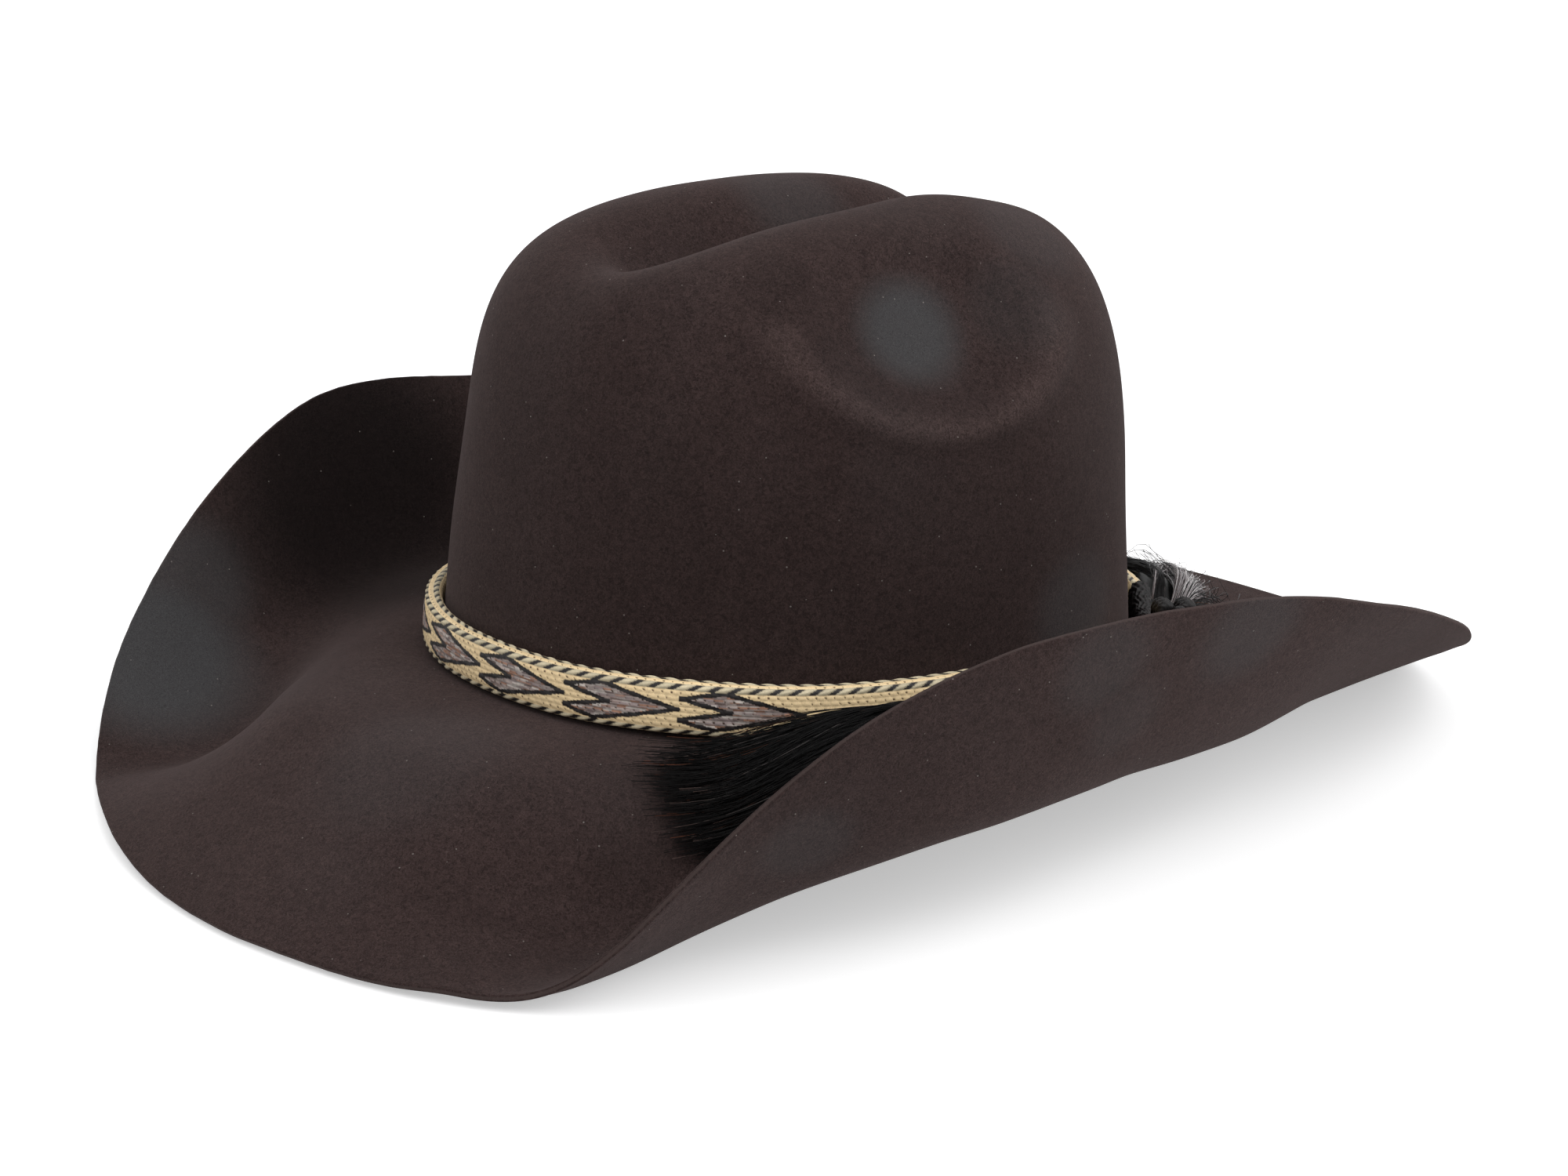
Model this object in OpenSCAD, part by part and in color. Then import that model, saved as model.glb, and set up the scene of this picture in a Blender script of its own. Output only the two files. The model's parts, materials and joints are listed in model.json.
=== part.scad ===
// Western felt hat: one blocked felt shell, a leather and satin lining, and a hitched horsehair band.
// Millimetres, +Z up. The front of the hat faces -Y and the wearer's left side faces +X.
// Shapes are laid out on the level plane of the crown's foot, with angle 0 at the front and 90 at the
// wearer's left. on_table() then tips the whole hat so that its brim rests at Z = 0, front and back.

/* [Head opening] */
// Half width of the crown's foot, at the middle of the felt
foot_x = 86; // [80:0.5:96]
// Half length of the crown's foot, at the middle of the felt
foot_y = 98.5; // [92:0.5:110]
// Squareness of the foot's oval, where 2 is an ellipse
foot_square = 2.2; // [2:0.05:2.6]

/* [Felt] */
// Thickness of the felt
felt_t = 2.5; // [1.5:0.1:3.5]
// Size of the bend between crown and brim
break_r = 3; // [2:0.5:6]

/* [Crown] */
// Height of the crown above its foot, before creasing
crown_h = 127.5; // [105:0.5:150]
// Rise of the crown's top towards the back, per millimetre of length
crown_rise = 0.04; // [0:0.01:0.15]
// Squareness of the crown's profile, where 2 is a dome
crown_square = 4.3; // [2.6:0.1:6]
// Share of the width lost between foot and top
side_taper = 0.075; // [0:0.005:0.25]
// Share of the length lost between foot and top, at the front
front_taper = 0.06; // [0:0.005:0.25]
// Share of the length lost between foot and top, at the back
back_taper = 0.085; // [0:0.005:0.25]

/* [Crease and dents] */
// Depth of the long crease in the crown's top
crease_depth = 28.5; // [5:0.5:35]
// Half width of the crease
crease_w = 17.5; // [12:0.5:26]
// Where the crease starts, along the hat
crease_front = -59; // [-75:1:-30]
// Length over which it deepens at the front
crease_front_run = 14; // [12:1:50]
// Where the crease ends, along the hat
crease_back = 110; // [60:1:130]
// Length over which it runs out at the back
crease_back_run = 12; // [5:1:30]
// Depth of the dent in each side of the crown
dent_depth = 9; // [0:0.5:14]
// Place of the dents along the hat
dent_y = -10; // [-35:1:30]
// Height of the dents above the crown's foot
dent_z = 102; // [85:1:110]
// Half length of a dent
dent_half_len = 34; // [20:1:60]
// Half height of a dent
dent_half_high = 20; // [14:1:35]

/* [Brim] */
// Reach of the brim's edge to each side of the hat's middle
edge_side = 158; // [140:1:175]
// Reach of the edge to the front
edge_front = 194; // [170:1:205]
// Reach of the edge to the back
edge_back = 208.5; // [180:0.5:220]
// Squareness of the edge's outline at the front
edge_square_front = 2.55; // [2:0.05:3.2]
// Squareness of the edge's outline at the back
edge_square_back = 2.35; // [2:0.05:3.2]
// Height of the edge at the front, from the crown's foot
edge_z_front = -36.5; // [-60:0.5:-15]
// Height of the edge at the sides
edge_z_side = 49; // [10:1:70]
// Height of the edge at the back
edge_z_back = -18; // [-50:1:-5]
// Slope of the brim where it leaves the crown, at the front
root_slope_front = 0; // [-20:1:15]
// Slope of the brim where it leaves the crown, at the sides
root_slope_side = -6.5; // [-20:0.5:20]
// Slope of the brim where it leaves the crown, at the back
root_slope_back = 4; // [-20:1:15]
// Slope of the brim's last stretch at the front
edge_slope_front = -29; // [-50:1:10]
// Slope of the brim's last stretch at the sides
edge_slope_side = 88; // [40:1:100]
// Slope of the brim's last stretch at the back
edge_slope_back = 4.5; // [-30:0.5:20]

/* [Sweatband] */
// Height of the leather
sweat_h = 43; // [32:1:50]
// Thickness of the leather
sweat_t = 1.2; // [0.8:0.1:2]
// Thickness of the reed in its lower edge
reed_d = 2; // [1.5:0.1:3]
// Thickness of the tape that covers the reed
tape_t = 0.6; // [0.4:0.1:1]
// Height of the tape above the reed
tape_h = 6; // [4:0.5:9]
// Thickness of the sewing thread
thread_d = 0.8; // [0.5:0.1:1.2]
// Length of a stitch
stitch_len = 3.4; // [2:0.2:5]
// Number of stitches round the sweatband
stitch_count = 96; // [48:8:120]
// Width of the ribbon bow
bow_w = 24; // [16:1:34]
// Height of the ribbon bow
bow_h = 9; // [6:0.5:14]
// Width of the size tag
tag_w = 16; // [10:1:24]
// Height of the size tag
tag_h = 12; // [8:1:20]

/* [Liner] */
// Thickness of the satin
satin_t = 0.6; // [0.4:0.1:1]
// Thickness of the piping between side and tip
piping_d = 2.4; // [1.6:0.1:3.5]

/* [Hatband] */
// Height of the hitched tube
band_h = 14; // [8:0.5:20]
// Thickness of the flattened tube
band_t = 5.6; // [3:0.1:8]
// Height of its lower edge above the crown's foot
band_z = 2.6; // [2:0.1:6]
// Angle of its front end, from the front of the hat
band_front_end = 84; // [76:1:90]
// Angle of its back end, from the front of the hat
band_back_end = 147; // [140:1:152]
// Length of the wrap on each end
wrap_len = 15; // [10:1:20]
// How far a wrap stands proud of the tube
wrap_proud = 0.7; // [0.4:0.1:1.5]
// Thickness of a closure cord
cord_d = 3; // [2:0.1:4]
// Length of the slide knot, along the cords
slide_len = 16; // [10:1:24]
// Wall of the slide knot
slide_wall = 1.6; // [1:0.1:2.4]

/* [Tassels] */
// Thickness of a knot cap
knot_d = 6.4; // [5:0.2:8]
// Length of a knot cap
knot_len = 7; // [5:0.5:10]
// Height of the hair at its thickest
hair_h = 9; // [5:0.5:12]

/* [Hidden] */

// Sectors round the hat, and rows down the felt from the crown's top to the brim's edge
N = 64;
CROWN_ROWS = 16;
BEND_ROWS = 4;
BRIM_ROWS = 14;
LAST_ROW = CROWN_ROWS + BEND_ROWS + BRIM_ROWS;
// Rows at which the liner's tip meets its side wall, and at which the side wall ends
LINER_SEAM_ROW = 9;
LINER_LOW_ROW = 14;
// Clearances: between pieces sewn together, of the band round the crown, of a wrap from the tube's end, of the
// running cords, and of the tassels above the brim
seat = 0.3;
lift_gap = 0.35;
wrap_gap = 0.2;
cord_gap = 0.3;
tassel_gap = 0.7;
// Exponent that rounds the corners of the flattened tube's section, where 1 is an ellipse
tube_corner = 0.55;
// The crease starts at this share of the crown's height and is full this much higher
crease_fade = 0.55;
crease_fade_run = 0.35;
// Distance from the middle line over which a side dent grows to its full depth
dent_fade_x = 30;
// Lengths of the brim's two curve handles, as shares of the straight line from root to edge
root_handle = 0.655;
edge_handle = 0.705;
// Angles, from the front and from the back, between which the edge rises to its side height
rise_front = [29, 78.5];
rise_back = [13.5, 96.5];
// Angles between which the slope of the last stretch turns to that of the sides
turn_front = [7.5, 80.5];
turn_back = [14, 123.5];
// Angles on the foot through which the closure cords' arc passes, and the room that it takes beyond its
// clearance, because the foot bulges past the arc between them
cord_arc_at = [98, 116, 134];
cord_arc_room = 0.75;
// Half the travel of the slide knot along the cords, in degrees of their arc
slide_travel = 4;
// Where the tassels' pivots lie: angle on the foot, and distance out from it
pivot_front = [85, 14.5];
pivot_rear = [151, 19];
// How far past the knot caps the hair starts, which its lean with the brim brings close to them
hair_gap_front = -0.8;
hair_gap_rear = 1.5;
// Where the hair ends on the brim: angle, and share of the brim, on the crown's side and on the outer side
hair_front_in = [33, 0.07];
hair_front_out = [44, 0.33];
hair_rear_in = [185, 0.2];
hair_rear_out = [172, 0.42];

function tanh(v) = 1 - 2 / (exp(2 * v) + 1);
function clamp01(v) = min(1, max(0, v));
function ease(v) = let (c = clamp01(v)) c * c * (3 - 2 * c);
function fade(v, span) = 1 - ease((v - span[0]) / (span[1] - span[0]));
function mix(a, b, t) = a + (b - a) * t;
function unit(v) = v / norm(v);
function signed_pow(v, e) = sign(v) * pow(abs(v), e);
function oval(a, rx, ry, n) = [rx * signed_pow(sin(a), 2 / n), -ry * signed_pow(cos(a), 2 / n), 0];
function arc_angle(length, radius) = length / radius * 180 / PI;

// ---- the crown ----

function foot(a) = oval(a, foot_x, foot_y, foot_square);
function foot_out(a) = unit([sin(a) / foot_x, -cos(a) / foot_y, 0]);

function crease(x, y, rise) = crease_depth
    * exp(-pow(x / crease_w, 2)) * ease((rise - crease_fade) / crease_fade_run)
    * (tanh((y - crease_front) / crease_front_run) - tanh((y - crease_back) / crease_back_run)) / 2;

function dent(x, y, z) = dent_depth * ease(abs(x) / dent_fade_x)
    * exp(-pow((y - dent_y) / dent_half_len, 2) - pow((z - dent_z) / dent_half_high, 2));

// A point of the crown: share is its distance from the axis and rise its height, both from 0 to 1
function crown(a, share, rise) =
    let (base = foot(a),
         end_taper = mix(back_taper, front_taper, (1 + cos(a)) / 2),
         x = base.x * share * (1 - side_taper * rise),
         y = base.y * share * (1 - end_taper * rise),
         z = crown_h * rise + crown_rise * y * rise)
    [x - sign(x) * dent(x, y, z), y, z - crease(x, y, rise)];

// The same, by the angle w of its profile: 90 at the top and 0 at the foot
function crown_at(a, w) =
    let (r = pow(pow(cos(w), crown_square) + pow(sin(w), crown_square), -1 / crown_square))
    crown(a, r * cos(w), r * sin(w));

// A point beside the wall near its foot, at height z and off millimetres outside the middle of the felt
function wall(a, z, off) =
    let (rise = max(0, z) / crown_h,
         share = pow(1 - pow(rise, crown_square), 1 / crown_square))
    crown(a, share, rise) + [0, 0, min(0, z)] + off * foot_out(a);

// ---- the brim ----

function from_front(a) = acos(cos(a));
function edge_z(a) = edge_z_side
    + (edge_z_front - edge_z_side) * fade(from_front(a), rise_front)
    + (edge_z_back - edge_z_side) * fade(180 - from_front(a), rise_back);
function edge_slope(a) = edge_slope_side
    + (edge_slope_front - edge_slope_side) * fade(from_front(a), turn_front)
    + (edge_slope_back - edge_slope_side) * fade(180 - from_front(a), turn_back);
function root_slope(a) = root_slope_side * pow(sin(a), 2)
    + (cos(a) > 0 ? root_slope_front : root_slope_back) * pow(cos(a), 2);
function edge_plan(a) = oval(a, edge_side, cos(a) > 0 ? edge_front : edge_back,
    mix(edge_square_back, edge_square_front, ease((cos(a) + 0.6) / 1.2)));
function share_at(a, off) = off / (3 * root_handle * norm(edge_plan(a) + [0, 0, edge_z(a)] - foot(a)));
function tilted(flat, slope) = flat * cos(slope) + [0, 0, sin(slope)];

// A point of the brim: s is 0 at the crown's foot and 1 at the edge
function brim(a, s) =
    let (root = foot(a),
         edge = edge_plan(a) + [0, 0, edge_z(a)],
         chord = norm(edge - root),
         near = root + root_handle * chord * tilted(foot_out(a), root_slope(a)),
         far = edge - edge_handle * chord * tilted(unit(edge_plan(a) - root), edge_slope(a)),
         q = 1 - s)
    q * q * q * root + 3 * s * q * q * near + 3 * s * s * q * far + s * s * s * edge;
function brim_normal(a, s) =
    unit(cross(brim(a, s + 0.01) - brim(a, s - 0.01), brim(a + 1, s) - brim(a - 1, s)));

// ---- the middle surface of the felt, as rows of points ----

bend_w = atan(break_r / crown_h);
bend_s = break_r / (3 * root_handle * norm([edge_side - foot_x, edge_z_side]));
function bend(a, t) = pow(1 - t, 2) * crown_at(a, bend_w) + 2 * t * (1 - t) * foot(a) + t * t * brim(a, bend_s);
function middle(row, a) =
    row <= CROWN_ROWS ? crown_at(a, mix(90, bend_w, row / CROWN_ROWS)) :
    row < CROWN_ROWS + BEND_ROWS ? bend(a, (row - CROWN_ROWS) / BEND_ROWS) :
    brim(a, mix(bend_s, 1, (row - CROWN_ROWS - BEND_ROWS) / BRIM_ROWS));
MIDDLE = [for (row = [0:LAST_ROW]) [for (j = [0:N - 1]) middle(row, j * 360 / N)]];
NORMAL = [for (row = [0:LAST_ROW]) [for (j = [0:N - 1])
    row == 0 ? [0, 0, 1] :
    unit(cross(MIDDLE[min(row + 1, LAST_ROW)][j] - MIDDLE[row - 1][j],
               MIDDLE[row][(j + 1) % N] - MIDDLE[row][(j + N - 1) % N]))]];
function layer(row, off) = [for (j = [0:N - 1]) MIDDLE[row][j] + off * NORMAL[row][j]];

// ---- the hat's place on the table ----

underside = [for (row = [CROWN_ROWS + BEND_ROWS:LAST_ROW]) each layer(row, -felt_t / 2)];
front_under = [for (p = underside) if (p.y < 0) p];
back_under = [for (p = underside) if (p.y > 0) p];
function lowest(points, pitch) = min([for (p = points) p.z * cos(pitch) - p.y * sin(pitch)]);
function levelled(pitch) = pitch
    - atan((lowest(front_under, pitch) - lowest(back_under, pitch)) / (edge_front + edge_back));
pitch = levelled(levelled(levelled(levelled(0))));
rim = [for (off = [-felt_t / 2, felt_t / 2]) each layer(LAST_ROW, off)];
rim_y = [for (p = rim) p.y * cos(pitch) + p.z * sin(pitch)];
table_shift = [0, -(min(rim_y) + max(rim_y)) / 2, -lowest(underside, pitch)];
module on_table() translate(table_shift) rotate([-pitch, 0, 0]) children();

// ---- closed surfaces through rings of points ----

function corners(r0, r1, j, m) = [r0 * m + j, r0 * m + (j + 1) % m, r1 * m + (j + 1) % m, r1 * m + j];
function quad(r0, r1, j, m, other = false) = let (c = corners(r0, r1, j, m))
    other ? [[c[0], c[1], c[3]], [c[1], c[2], c[3]]] : [[c[0], c[1], c[2]], [c[0], c[2], c[3]]];

// Rings that close at a point at each end. The second half of a sheet's rings runs back under the first, and
// is split along the same diagonals, so that the sheet is as thick everywhere and stacked sheets stay apart.
module skin(rings, first, last, sheet = false) {
    m = len(rings[0]);
    k = len(rings);
    start = k * m;
    polyhedron(points = concat([for (r = rings) each r], [first, last]),
        faces = concat([for (i = [0:k - 2]) for (j = [0:m - 1]) each quad(i, i + 1, j, m, sheet && i >= k / 2)],
                       [for (j = [0:m - 1]) [start, (j + 1) % m, j]],
                       [for (j = [0:m - 1]) [(k - 1) * m + j, (k - 1) * m + (j + 1) % m, start + 1]]));
}

// Rings whose last one joins the first
module hoop(rings, sheet = false) {
    m = len(rings[0]);
    k = len(rings);
    polyhedron(points = [for (r = rings) each r],
        faces = [for (i = [0:k - 1]) for (j = [0:m - 1]) each quad(i, (i + 1) % k, j, m, sheet && i >= k / 2)]);
}

function middle_of(ring) = [for (c = [0:2]) [for (p = ring) p[c]] * [for (p = ring) 1] / len(ring)];
module capped(rings) skin(rings, middle_of(rings[0]), middle_of(rings[len(rings) - 1]));

// A round-cornered ring about centre c, of half sizes hu and hv along u and v
function section(c, u, v, hu, hv, sides, square = 2) = [for (k = [0:sides - 1])
    let (t = k * 360 / sides + 180 / sides)
    c + u * hu * signed_pow(cos(t), 2 / square) + v * hv * signed_pow(sin(t), 2 / square)];

// A ring round the hat at height z, off millimetres outside the middle of the wall
function wall_ring(z, off) = [for (j = [0:N - 1]) wall(j * 360 / N, z, off)];

// Rings for a cord of thickness d laid round the wall
function wall_cord(z, off, d, sides = 6) = [for (k = [0:sides - 1])
    wall_ring(z - d / 2 * sin(k * 360 / sides), off - d / 2 * cos(k * 360 / sides))];

// Puts children against the wall: +X along it, +Y out of the hat and +Z up
module against_wall(a, z, off)
    translate(wall(a, z, off)) rotate([0, 0, atan2(foot_out(a).y, foot_out(a).x) - 90]) children();

// ---- felt ----

module felt_body() color([0.22, 0.18, 0.17]) on_table()
    skin(concat([for (row = [1:LAST_ROW]) layer(row, felt_t / 2)],
                [for (row = [LAST_ROW:-1:1]) layer(row, -felt_t / 2)]),
         MIDDLE[0][0] + [0, 0, felt_t / 2], MIDDLE[0][0] - [0, 0, felt_t / 2], sheet = true);

// ---- sweatband ----

// The tape is a channel, open at the top: the reed lies in it and the leather stands in it
channel_w = max(reed_d, sweat_t) + seat;
channel_off = -(felt_t / 2 + seat + tape_t + channel_w / 2);
channel_bottom = -2;
reed_z = channel_bottom + tape_t + seat / 2 + reed_d / 2;
sweat_low = reed_z + reed_d / 2 + seat / 2;
sweat_face = channel_off - sweat_t / 2;
tape_face = channel_off - channel_w / 2 - tape_t;

module sweatband() color([0.45, 0.27, 0.15]) on_table()
    hoop([wall_ring(sweat_low, channel_off + sweat_t / 2), wall_ring(sweat_low, sweat_face),
          for (k = [1:3]) wall_ring(sweat_low + sweat_h * k / 3, sweat_face),
          for (k = [3:-1:1]) wall_ring(sweat_low + sweat_h * k / 3, channel_off + sweat_t / 2)]);

module sweatband_reed() color([0.8, 0.78, 0.7]) on_table() hoop(wall_cord(reed_z, channel_off, reed_d));

module reed_tape() color([0.12, 0.1, 0.09]) on_table() {
    outer = channel_off + channel_w / 2 + tape_t;
    top = reed_z + tape_h;
    hoop([wall_ring(top, outer), wall_ring(channel_bottom, outer), wall_ring(channel_bottom, tape_face),
          wall_ring(top, tape_face), wall_ring(top, tape_face + tape_t),
          wall_ring(channel_bottom + tape_t, tape_face + tape_t),
          wall_ring(channel_bottom + tape_t, outer - tape_t), wall_ring(top, outer - tape_t)]);
}

module stitch(length) rotate([0, 90, 0]) cylinder(h = length, d = thread_d, center = true, $fn = 16);

module sweatband_stitching() color([0.75, 0.68, 0.52]) on_table() {
    stitch_z = reed_z + tape_h * 0.6;
    for (k = [0:stitch_count - 1])
        against_wall(k * 360 / stitch_count, stitch_z, tape_face - seat - thread_d / 2) stitch(stitch_len);
}

// Crosses over the joint of the leather, above the bow
module back_seam() color([0.75, 0.68, 0.52]) on_table() {
    crosses = 5;
    cross_len = stitch_len * 1.4;
    cross_tilt = 35;
    above_bow = 2;
    low = reed_z + tape_h + bow_h + above_bow;
    step = (sweat_low + sweat_h - low) / crosses;
    for (k = [0:crosses - 1])
        for (tilt = [-cross_tilt, cross_tilt])
            against_wall(180, low + step * (k + 0.5), sweat_face - seat - thread_d / 2)
                rotate([0, tilt, 0]) stitch(cross_len);
}

// Two flat loops and a knot, on the leather just above the tape
module sweatband_bow() color([0.1, 0.09, 0.09]) on_table() {
    thick = 1.6;
    above_tape = 1;
    bow_knot = [bow_w / 5, thick * 1.6, bow_h * 0.6];
    // the leather leans in as it rises, so that the bow is set clear of it at its top edge
    top = reed_z + tape_h + bow_h + above_tape;
    off = sweat_face - seat - thick / 2;
    loop_half = bow_w / 4;
    loop_in = bow_w / 6;
    against_wall(180, top, off - thick / 2) translate([0, 0, -bow_h / 2]) cube(bow_knot, center = true);
    for (side = [-1, 1])
        against_wall(180 + side * arc_angle(loop_half, foot_x), top, off)
            rotate([90, 0, 0]) linear_extrude(height = thick, center = true)
                polygon([[side * loop_half, bow_h * -0.35], [side * loop_in, 0],
                         [-side * loop_half, -bow_h], [-side * loop_in, -bow_h]]);
}

module size_tag() color([0.9, 0.88, 0.84]) on_table() {
    tag_t = 0.6;
    // the flat tag clears the curve of the leather by its own sagitta
    tag_bow = tag_w * tag_w * foot_y / (8 * foot_x * foot_x);
    tag_top = sweat_low + sweat_h * 0.6 + tag_h / 2;
    against_wall(180 + arc_angle(tag_w, foot_x), tag_top, sweat_face - seat - tag_t / 2 - tag_bow)
        translate([0, 0, -tag_h / 2]) cube([tag_w, tag_t, tag_h], center = true);
}

// ---- liner ----

liner_off = -(felt_t / 2 + seat);

module liner_side() color([0.1, 0.08, 0.08]) on_table()
    hoop([for (row = [LINER_SEAM_ROW:LINER_LOW_ROW]) layer(row, liner_off),
          for (row = [LINER_LOW_ROW:-1:LINER_SEAM_ROW]) layer(row, liner_off - satin_t)], sheet = true);

module liner_tip() color([0.12, 0.09, 0.09]) on_table()
    skin(concat([for (row = [1:LINER_SEAM_ROW]) layer(row, liner_off)],
                [for (row = [LINER_SEAM_ROW:-1:1]) layer(row, liner_off - satin_t)]),
         MIDDLE[0][0] + [0, 0, liner_off], MIDDLE[0][0] + [0, 0, liner_off - satin_t], sheet = true);

module liner_piping() color([0.5, 0.42, 0.3]) on_table() {
    sides = 6;
    centre = layer(LINER_SEAM_ROW, liner_off - satin_t - seat - piping_d / 2);
    hoop([for (k = [0:sides - 1]) [for (j = [0:N - 1])
        let (out = NORMAL[LINER_SEAM_ROW][j],
             along = unit(centre[(j + 1) % N] - centre[(j + N - 1) % N]),
             down = cross(out, along))
        centre[j] + piping_d / 2 * (out * cos(k * 360 / sides) + down * sin(k * 360 / sides))]]);
}

// ---- hatband ----

band_off = felt_t / 2 + lift_gap + band_t / 2;
band_mid = band_z + band_h / 2;

module hatband() color([0.72, 0.63, 0.47]) on_table() {
    steps = 60;
    sides = 12;
    span = band_front_end + 360 - band_back_end;
    capped([for (i = [0:steps]) let (a = band_front_end - span * i / steps)
        [for (k = [0:sides - 1]) let (t = -(k + 0.5) * 360 / sides)
            wall(a, band_mid + band_h / 2 * signed_pow(sin(t), tube_corner),
                 band_off + band_t / 2 * signed_pow(cos(t), tube_corner))]]);
}

// The two closure cords run one above the other on one arc beside the wall
cord_off = felt_t / 2 + lift_gap + slide_wall + cord_gap + cord_d / 2 + cord_arc_room;
cord_apart = 1;
cord_step = cord_d + cord_apart;
function beside(a, off) = foot(a) + off * foot_out(a);
function centre_of(a, b, c) =
    let (ab = b - a, ac = c - a, d = 2 * (ab.x * ac.y - ab.y * ac.x), p = ab * ab, q = ac * ac)
    a + [ac.y * p - ab.y * q, ab.x * q - ac.x * p, 0] / d;
arc_points = [for (a = cord_arc_at) beside(a, cord_off)];
arc_centre = centre_of(arc_points[0], arc_points[1], arc_points[2]);
arc_r = norm(arc_points[1] - arc_centre);
function about_centre(p) = atan2(p.y - arc_centre.y, p.x - arc_centre.x);
function on_arc(phi, z) = arc_centre + [arc_r * cos(phi), arc_r * sin(phi), z];
slide_phi = about_centre(arc_points[1]);
slide_half = arc_angle(slide_len / 2, arc_r);
wrap_turn = arc_angle(wrap_len, (foot_x + foot_y) / 2);
front_cord_phi = about_centre(beside(band_front_end + wrap_turn, cord_off));
rear_cord_phi = about_centre(beside(band_back_end - wrap_turn, cord_off));

// A wrap, from the tube's end at angle a to the cord's start at phi, in line with the tube's inner side
module wrap(a, phi, z) {
    sections = 7;
    first_share = 0.7;
    narrows_by = 1 / 1.1;
    tube_end = wall(a, band_mid, band_off + wrap_proud);
    end = on_arc(phi, z);
    run = end - tube_end;
    start = tube_end + wrap_gap * unit(run);
    // one side of the ring faces along the run, whichever way that goes
    spin = cross(foot_out(a), [0, 0, 1]) * run > 0 ? -1 : 1;
    capped([for (i = [0:sections - 1]) let (t = i / (sections - 1), e = ease(t / narrows_by),
        out = unit(mix(foot_out(a), [cos(phi), sin(phi), 0], t)),
        tuck = i == 0 ? first_share : 1)
        section(mix(start, end, t), out, [0, 0, spin],
                tuck * mix(band_t / 2 + wrap_proud, cord_d / 2 + wrap_proud, e),
                tuck * mix(band_h / 2 + wrap_proud, cord_d / 2 + wrap_proud, e), 12, mix(3, 2, t))]);
}

module band_wrap_front() color([0.06, 0.06, 0.06]) on_table()
    wrap(band_front_end, front_cord_phi, band_mid + cord_step / 2);
module band_wrap_rear() color([0.06, 0.06, 0.06]) on_table()
    wrap(band_back_end, rear_cord_phi, band_mid - cord_step / 2);

// Pivots of the tassels, at the cords' ends, lying on the brim
function pivot(place) =
    let (flat = beside(place[0], place[1]),
         s = share_at(place[0], place[1]))
    [flat.x, flat.y, brim(place[0], s).z + felt_t / 2 + tassel_gap + knot_d / 2];
front_pivot = pivot(pivot_front);
rear_pivot = pivot(pivot_rear);
// Radius of the ball that hides a cord's end
ball_r = cord_d * 0.8;

// A cord: from a wrap at phi, along the arc through the slide knot, then out to a tassel's pivot
module closure_cord(phi, z, target) {
    sides = 8;
    steps = 30;
    straight_past = 2;
    end_phi = about_centre(target);
    way = sign(end_phi - phi);
    leave = slide_phi + way * (slide_half + slide_travel + straight_past);
    stop = end_phi - way * arc_angle(ball_r + cord_gap, arc_r);
    shift = target - on_arc(end_phi, z);
    function point(p) = on_arc(p, z) + shift * ease((p - leave) / (end_phi - leave));
    capped([for (i = [0:steps]) let (p = mix(phi, stop, i / steps),
        along = unit(point(p + 0.5) - point(p - 0.5)) * way,
        out = unit(cross([0, 0, 1], along)), up = cross(out, along))
        section(point(p), out, -up, cord_d / 2, cord_d / 2, sides)]);
}

module closure_cord_front() color([0.06, 0.06, 0.06]) on_table()
    closure_cord(front_cord_phi, band_mid + cord_step / 2, rear_pivot);
module closure_cord_rear() color([0.06, 0.06, 0.06]) on_table()
    closure_cord(rear_cord_phi, band_mid - cord_step / 2, front_pivot);

// The slide knot: a ring about both cords, swept along their arc
module slide_knot() color([0.72, 0.63, 0.47]) on_table()
    translate(arc_centre + [0, 0, band_mid]) rotate([0, 0, slide_phi - slide_half])
        rotate_extrude(angle = 2 * slide_half, $fn = 96) difference() {
            slot_shape(cord_d / 2 + cord_gap + slide_wall);
            slot_shape(cord_d / 2 + cord_gap);
        }
module slot_shape(r) {
    translate([arc_r, cord_step / 2]) circle(r = r, $fn = 32);
    translate([arc_r, -cord_step / 2]) circle(r = r, $fn = 32);
    translate([arc_r - r, -cord_step / 2]) square([2 * r, cord_step]);
}

// ---- tassels ----

// The caps stand a little apart, joined by a yoke, and start inside the ball
knot_side = knot_d / 2 + cord_gap / 2;
knot_start = ball_r * 0.7;
knot_reach = knot_start + knot_len;
yoke_d = knot_d * 0.3;

// The angle at which the hair starts beside the knots, and the way that it leaves the pivot
function root_angle(place, tip, gap = tassel_gap) = place[0]
    + sign(tip[0] - place[0]) * arc_angle(knot_reach + gap, norm(beside(place[0], place[1])));
function hair_way(place, tip) = unit(beside(root_angle(place, tip), place[1]) - beside(place[0], place[1]));

// Two knot caps side by side, joined at the ball in which the cord ends
module tassel_knots(place, tip) {
    way = hair_way(place, tip);
    translate(pivot(place)) rotate([0, 0, atan2(way.y, way.x)]) {
        sphere(r = ball_r, $fn = 32);
        translate([knot_start + yoke_d, 0, 0]) rotate([90, 0, 0])
            cylinder(h = 2 * knot_side, d = yoke_d, center = true, $fn = 24);
        for (side = [-1, 1])
            translate([knot_start, side * knot_side, 0]) rotate([0, 90, 0]) knot_cap();
    }
}
module knot_cap() {
    coils = 3;
    coil_d = knot_len / coils;
    rotate_extrude($fn = 32) {
        square([knot_d / 2 - coil_d * 0.3, knot_len]);
        for (k = [0:coils - 1])
            translate([(knot_d - coil_d) / 2, coil_d * (k + 0.5)]) circle(d = coil_d, $fn = 20);
    }
}

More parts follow.
